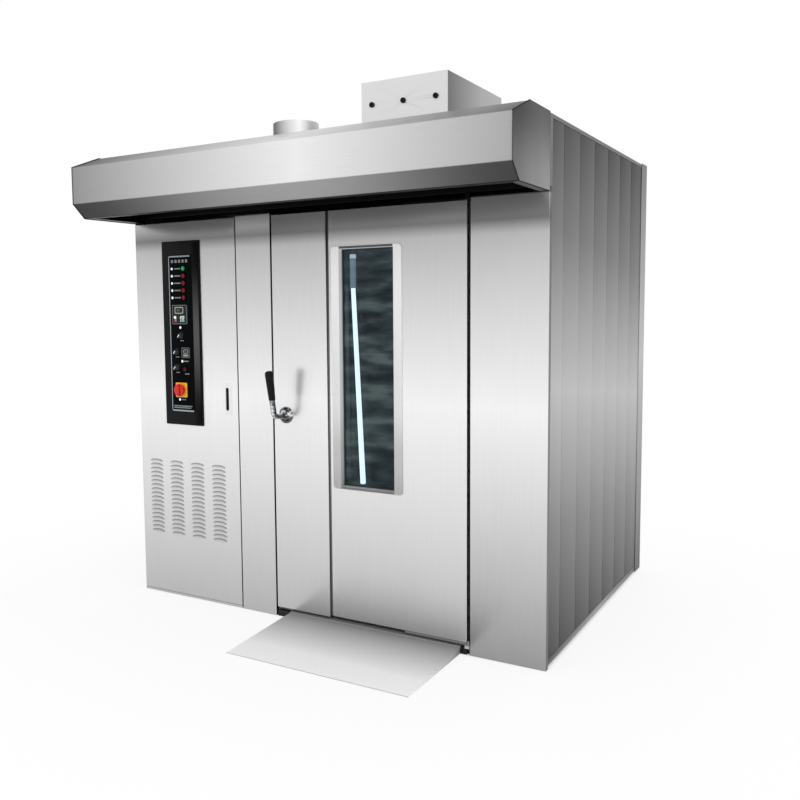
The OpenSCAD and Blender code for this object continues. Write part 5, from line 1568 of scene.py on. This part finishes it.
@dataclass
class OvenDoor:
    """The oven's door: latch panel, window panel, window, lamp and handle."""

    bar: float = 41.0
    rail: float = 12.0
    flange: float = 20.0
    corner: float = 16.0
    proud: float = 4.0
    lean: float = 9.5
    arm_r: float = 13.0
    bend_r: float = 28.0
    bend_d: float = -72.0
    grip_from_spindle: float = 86.0
    grip_len: float = 135.0
    # Painted shade at the ground of the door's front sheets.
    foot: Grey = 190.0

    def window_hole(self) -> Rect:
        """The window's opening inside its bars and rails."""
        low, high = extent("window_frame")
        return (low[0] + self.bar, low[2] + self.flange, high[0] - self.bar, high[2] - self.flange)

    def panels(self) -> None:
        """The two folded front sheets and the groove strip between them."""
        low, high = extent("door_latch_panel")
        seam = extent("door_window_panel")[0][0] - 14
        shape = Shape().pan((low[0], low[2], seam, high[2]), low[1], high[1], Plane.FRONT)
        piece("latch_side_sheet", shape, front_steel("latch_strip_steel", self.foot, 120), "door_latch_panel",
              ["door_latch_panel"])
        groove = Shape().box((seam - SHEET, 9, low[2] + 8), (high[0], 11, high[2]), 0.4)
        # Painted shade in the groove between the door's panels: dark grey, darkest at the top.
        steel = BrushedSteel(name="groove_steel", metallic=0.2, specular=0.1, painted_shades=(PaintedShade(2, (
            (0.0, 95.0), (1000.0, 135.0), (1912.0, 60.0)), soft=False),))
        piece("groove_strip", groove, steel, "door_latch_panel")
        low, high = extent("door_window_panel")
        gap = SHEET + 0.3
        v0, z0, v1, z1 = self.window_hole()
        shape = Shape().pan((low[0], low[2], high[0], high[2]), low[1], high[1], Plane.FRONT,
                            [(v0 - gap, z0 - gap, v1 + gap, z1 + gap)])
        piece("window_side_sheet", shape, front_steel("window_panel_steel", self.foot), "door_window_panel",
              ["door_window_panel"])
        dress("door_inner_skin", CHAMBER)
        dress("door_core", WOOL, 0)
        dress("door_seals", SILICONE, 1.0)
        dress("hinge_arms", GAP_SHADE_STEEL, 1.0)
        dress("latch_bolt", CHROME, 1.0)

    def window(self) -> None:
        """The rounded frame with its lining to the inner pane, the inner rim, and the two panes."""
        low, high = extent("window_frame")
        hole = self.window_hole()
        outer = rounded((low[0], hole[1] - self.rail, high[0], hole[3] + self.rail), self.corner, 8)
        inner = rounded(hole, 1.0, 8)
        lined = rounded((hole[0] - SHEET, hole[1] - SHEET, hole[2] + SHEET, hole[3] + SHEET), 2.0, 8)
        rim = rounded((hole[0] - 20, hole[1] - 20, hole[2] + 20, hole[3] + 20), 4.0, 8)
        back = high[1]
        shape = Shape().frame_ring(
            [(outer, -0.2), (outer, -self.proud + 1.6), (moved(outer, 0.5), -self.proud + 0.5),
             (moved(outer, 1.6), -self.proud), (moved(inner, -1.4), -self.proud),
             (moved(inner, -0.4), -self.proud + 0.4), (inner, -self.proud + 1.4), (inner, back - 0.5),
             (moved(inner, -0.5), back), (moved(rim, 0.5), back), (rim, back - 0.5), (rim, back - 1.9),
             (lined, back - 1.9), (lined, -0.2)], Plane.FRONT)
        # Painted shade: the surround grows lighter upwards, and its lining darkens from 12 mm deep into the
        # recess.
        painted_shade = PaintedShade(2, ((low[2], 172.0), (low[2] + 160, 190.0), (low[2] + 420, 222.0), (high[2], 242.0)))
        deep = PaintedShade(1, ((12.0, 255.0), (40.0, 130.0)), soft=False)
        piece("window_surround", shape, BrushedSteel(name="surround_steel", metallic=0.0, specular=0.1,
                                                     roughness=0.5, painted_shades=(painted_shade, deep)),
              "window_frame", ["window_frame"])
        rails = Shape()
        for z0, z1 in ((hole[1] - self.rail + 1, hole[1] - 1), (hole[3] + 1, hole[3] + self.rail - 1)):
            rails.prism(rounded((hole[0] + 1, z0, hole[2] - 1, z1), 1, 2), -self.proud - 0.3,
                        -self.proud + 0.5,
                        Plane.FRONT, 0.2, 1)
        piece("window_rails", rails, RAIL, "window_frame")
        dress("window_panes", PANE, 0)

    def lamp(self) -> None:
        """The leaning tube in its foot, with the long holder above it."""
        low, high = extent("door_lamp")
        foot = np.array([high[0] - 17.0, (low[1] + high[1]) / 2, low[2] + 9.6])
        end = np.array([low[0] + 17.0, foot[1], high[2] - 172.0])
        way = (end - foot) / np.linalg.norm(end - foot)
        reach = np.array([0.0, 2.0, 6.0, 6.5, np.linalg.norm(end - foot) - 1])
        tube = Shape().sweep(foot + reach[:, None] * way, [11.0, 12.0, 12.2, 12.2, 10.0], (0, 1, 0))
        piece("lamp_tube_lit", tube, TUBE, "door_lamp", ["door_lamp"])
        holder = Shape().turned([(13.3, end[2] + 3), (13.5, end[2] + 6), (13.5, high[2] - 24),
                                 (12, high[2] - 22)],
                                (end[0], end[1]), Plane.LEVEL, 32)
        piece("lamp_holder_tube", holder, HOLDER, "door_lamp")
        caps = Shape().box((end[0] - 17, low[1], high[2] - 22), (end[0] + 17, high[1], high[2]), 2,
                           Plane.LEVEL)
        caps.box((high[0] - 34, low[1], low[2]), (high[0], high[1], low[2] + 9), 2, Plane.LEVEL)
        piece("lamp_ends", caps, MILL, "door_lamp")
        spot = Shape().turned([(14.2, high[2] - 40), (14.2, high[2] - 24), (13, high[2] - 23)],
                              (end[0], end[1]),
                              Plane.LEVEL, 32)
        piece("lamp_upper_ring", spot, replace(TUBE, name="lamp_ring_lit", strength=1.2), "door_lamp")

    def handle(self) -> None:
        """The lift handle: rose with a domed boss, bent arm and a tapered grip with three rings."""
        low, high = extent("handle_rose")
        v, z = (low[0] + high[0]) / 2, (low[2] + high[2]) / 2
        r = (high[0] - low[0]) / 2
        rose = Shape().turned([(r, 0.0), (r, -4.0), (r - 1, -5.4), (r - 2.5, -6.0), (r * 0.95, -6.2),
                               (r * 0.86, -9.5), (r * 0.74, -14.5), (r * 0.64, -20.5), (r * 0.58, -22.3),
                               (17.5, -23), (16, -25), (16, -32.5), (15.4, -33.6), (14, -34)], (v, z),
                               Plane.FRONT)
        # Painted reflections on the boss: darker below, a bright stripe just above the middle.
        painted_reflection_bands = PaintedShade(2, ((z - r, 100.0), (z - 8, 135.0), (z + 1, 255.0), (z + r, 200.0)), soft=False)
        piece("handle_boss", rose, Chrome(name="boss_chrome", painted_reflection_bands=painted_reflection_bands), "handle_rose", ["handle_rose"])
        lean = math.radians(self.lean)
        angle = np.linspace(math.pi / 2, lean, 14)
        middle = np.array([self.bend_d, z + self.bend_r])
        bend = middle + self.bend_r * np.column_stack([-np.cos(angle), -np.sin(angle)])
        up = np.array([-math.sin(lean), math.cos(lean)])
        reach = self.grip_from_spindle - self.bend_r
        straight = bend[-1] + np.linspace(0.15, 1, 4)[:, None] * reach * up
        nose = np.column_stack([np.linspace(-36.0, self.bend_d + 2, 4), np.full(4, z)])
        flat = np.vstack([nose, bend, straight])
        path = np.column_stack([np.full(len(flat), v), flat])
        arm = Shape().sweep(path, [self.arm_r] * len(path), (1, 0, 0))
        arm.turned([(8, -35.0), (8, extent("handle_lever")[1][1])], (v, z), Plane.FRONT, 24)
        arm.turned([(14.6, -35.0), (14.6, -36.5), (14, -37.5), (14, -41), (13, -42.5)], (v, z), Plane.FRONT)
        side = self.arm_r
        # Painted reflection on the arm: a bright stripe just right of its middle, dark at both sides.
        painted_reflection_bands = PaintedShade(0, ((v - side, 80.0), (v + 0.3 * side, 255.0), (v + side, 80.0)), soft=False)
        piece("handle_arm", arm, Chrome(name="arm_chrome", painted_reflection_bands=painted_reflection_bands), "handle_lever", ["handle_lever"])
        start = bend[-1] + reach * up
        along = np.array([0, 0.6, 2, 5, 12, 13, 15, 17, 18, 24, 25, 27, 29, 30, 60, 90, 118, 126, 131, 134,
                          135.0])
        along *= self.grip_len / 135
        wide = 15.5 + 4.3 * np.clip(along / 118, 0, 1)
        wide -= np.where(np.isin(np.arange(len(along)), [6, 11]), 0.9, 0.0)
        wide[:2] -= (1.6, 0.8)
        wide[-4:] = (19.0, 17.2, 15.2, 13.0)
        line = start + along[:, None] * up
        grip = Shape().sweep(np.column_stack([np.full(len(line), v), line]), wide, (1, 0, 0), 36)
        piece("handle_grip_cover", grip, GRIP, "handle_grip", ["handle_grip"])

    def build(self) -> None:
        """Makes the door's pieces."""
        self.panels()
        self.window()
        self.lamp()
        self.handle()


@dataclass
class Chamber:
    """What lies inside: liner, ducts, rack hanger, heater, steam generator and fan."""

    finishes: Dict[str, Finish] = field(default_factory=lambda: {
        "chamber_floor": SILL, "chamber_liner": CHAMBER, "duct_walls": CHAMBER, "door_frame": FRAME_STEEL,
        "partitions": MILL, "rack_hanger": CHAMBER, "circulation_fan": MILL, "steam_generator": CHAMBER,
        "heater_elements": MILL})

    def build(self) -> None:
        """Dresses the CAD nodes inside."""
        for node, finish in self.finishes.items():
            dress(node, finish, 0.5)
        dress("insulation", WOOL, 0)


@dataclass
class Studio:
    """Floor, lamps, sky and camera."""

    focal: float = 881.032
    picture: float = 800.0
    centre: Tuple[float, float] = (340.0, 385.0)
    eye: Tuple[float, float, float] = (3290.306, -3377.417, 1486.182)
    yaw: float = 0.548
    pitch: float = -0.089
    roll: float = -0.012
    ambient: float = 0.86
    floor_lift: float = 0.84
    floor_reach: float = 14.0
    floor_z: float = -0.0005

    def camera(self) -> None:
        """The camera of the photograph: turned by yaw, pitch and roll, with the picture's centre as lens
        shift."""
        cy, sy = math.cos(self.yaw), math.sin(self.yaw)
        cp, sp = math.cos(self.pitch), math.sin(self.pitch)
        forward = Vector((-sy * cp, cy * cp, sp))
        right = Vector((cy, sy, 0))
        up = right.cross(forward)
        cr, sr = math.cos(self.roll), math.sin(self.roll)
        across, upright = cr * right + sr * up, cr * up - sr * right
        data = bpy.data.cameras.new("photo_camera")
        data.lens = data.sensor_width * self.focal / self.picture
        data.shift_x = (self.picture / 2 - self.centre[0]) / self.picture
        data.shift_y = (self.centre[1] - self.picture / 2) / self.picture
        data.clip_end = 60
        seen = bpy.data.objects.new("photo_camera", data)
        turn = Matrix((across, upright, -forward)).transposed().to_4x4()
        seen.matrix_world = Matrix.Translation((Vector(self.eye) - Vector(FOOT)) * MM) @ turn
        bpy.context.scene.collection.objects.link(seen)
        bpy.context.scene.camera = seen

    def clear_of_body(self, wires: Wires) -> bpy.types.NodeSocket:
        """How far a place of the floor lies outside the body's footprint, in metres.

        It is the larger of |x| − half the width and |y| − half the depth.
        """
        parts = [wires.maths("SUBTRACT", wires.maths("ABSOLUTE", wires.along(axis)), FOOT[axis] * MM)
                 for axis in (0, 1)]
        return wires.maths("MAXIMUM", *parts)

    def sky(self) -> None:
        """A white surround that lights the object at a plain level."""
        world = bpy.data.worlds.new("studio")
        bpy.context.scene.world = world
        world.use_nodes = True
        wires = Tree(world.node_tree)
        background = world.node_tree.nodes["Background"]
        background.inputs["Color"].default_value = (1, 1, 1, 1)
        wires.link(wires.ranged(wires.seen_as_white(), self.ambient, 1.0), background.inputs["Strength"])

    def floor(self) -> None:
        """A pale floor that keeps the object's shadow and whitens away from the body."""
        reach, low = self.floor_reach, self.floor_z
        mesh = bpy.data.meshes.new("studio_floor")
        mesh.from_pydata([(-reach, -reach, low), (reach, -reach, low), (reach, reach, low),
                          (-reach, reach, low)],
                         [], [(0, 1, 2, 3)])
        plane = bpy.data.objects.new("studio_floor", mesh)
        bpy.context.scene.collection.objects.link(plane)
        wires = Wires("floor_paper")
        wires.shader.inputs["Base Color"].default_value = (0.9, 0.9, 0.9, 1)
        wires.shader.inputs["Roughness"].default_value = 0.9
        wires.shader.inputs["Specular IOR Level"].default_value = 0.1
        glow = wires.node("ShaderNodeEmission")
        mix = wires.node("ShaderNodeMixShader")
        clear = self.clear_of_body(wires)
        steps = [wires.ranged(clear, 0.0, level, start, stop)
                 for start, stop, level in ((-0.02, 0.01, self.floor_lift), (0.5, 1.8, 1 - self.floor_lift))]
        share = wires.maths("MULTIPLY", wires.seen_as_white(), wires.maths("ADD", *steps))
        for source, socket in zip((share, wires.shader.outputs[0], glow.outputs[0]), mix.inputs):
            wires.link(source, socket)
        wires.link(mix.outputs[0], wires.tree.nodes["Material Output"].inputs["Surface"])
        mesh.materials.append(wires.material)

    def lamp(self, name: str, place: Sequence[float], size: float, power: float) -> None:
        """A soft square lamp that faces the object's middle and shows in no mirror."""
        data = bpy.data.lights.new(name, "AREA")
        data.shape = "SQUARE"
        data.size = size
        data.energy = power
        shown = bpy.data.objects.new(name, data)
        shown.location = place
        way = Vector((0.0, 0.0, 1.0)) - Vector(place)
        shown.rotation_euler = way.to_track_quat("-Z", "Y").to_euler()
        shown.visible_camera = False
        shown.visible_glossy = False
        bpy.context.scene.collection.objects.link(shown)

    def build(self) -> None:
        """Sets up the studio."""
        self.camera()
        self.sky()
        self.floor()
        self.lamp("key_lamp", (-3.0, -7.5, 4.5), 9.0, 160.0)
        self.lamp("fill_lamp", (5.0, -2.5, 4.0), 5.0, 70.0)
        self.lamp("back_lamp", (0.5, 6.5, 5.0), 5.0, 160.0)
        view = bpy.context.scene.view_settings
        view.view_transform = "Standard"


def main() -> None:
    """Builds the oven piece by piece."""
    logging.basicConfig(level=logging.INFO, format="%(message)s")
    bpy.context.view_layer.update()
    for part in (Studio(), Casing(), Hood(), RoofDrive(), ServiceDoor(), OvenDoor(), Chamber()):
        log.info("-- %s", type(part).__name__)
        part.build()


if __name__ == "__main__":
    main()
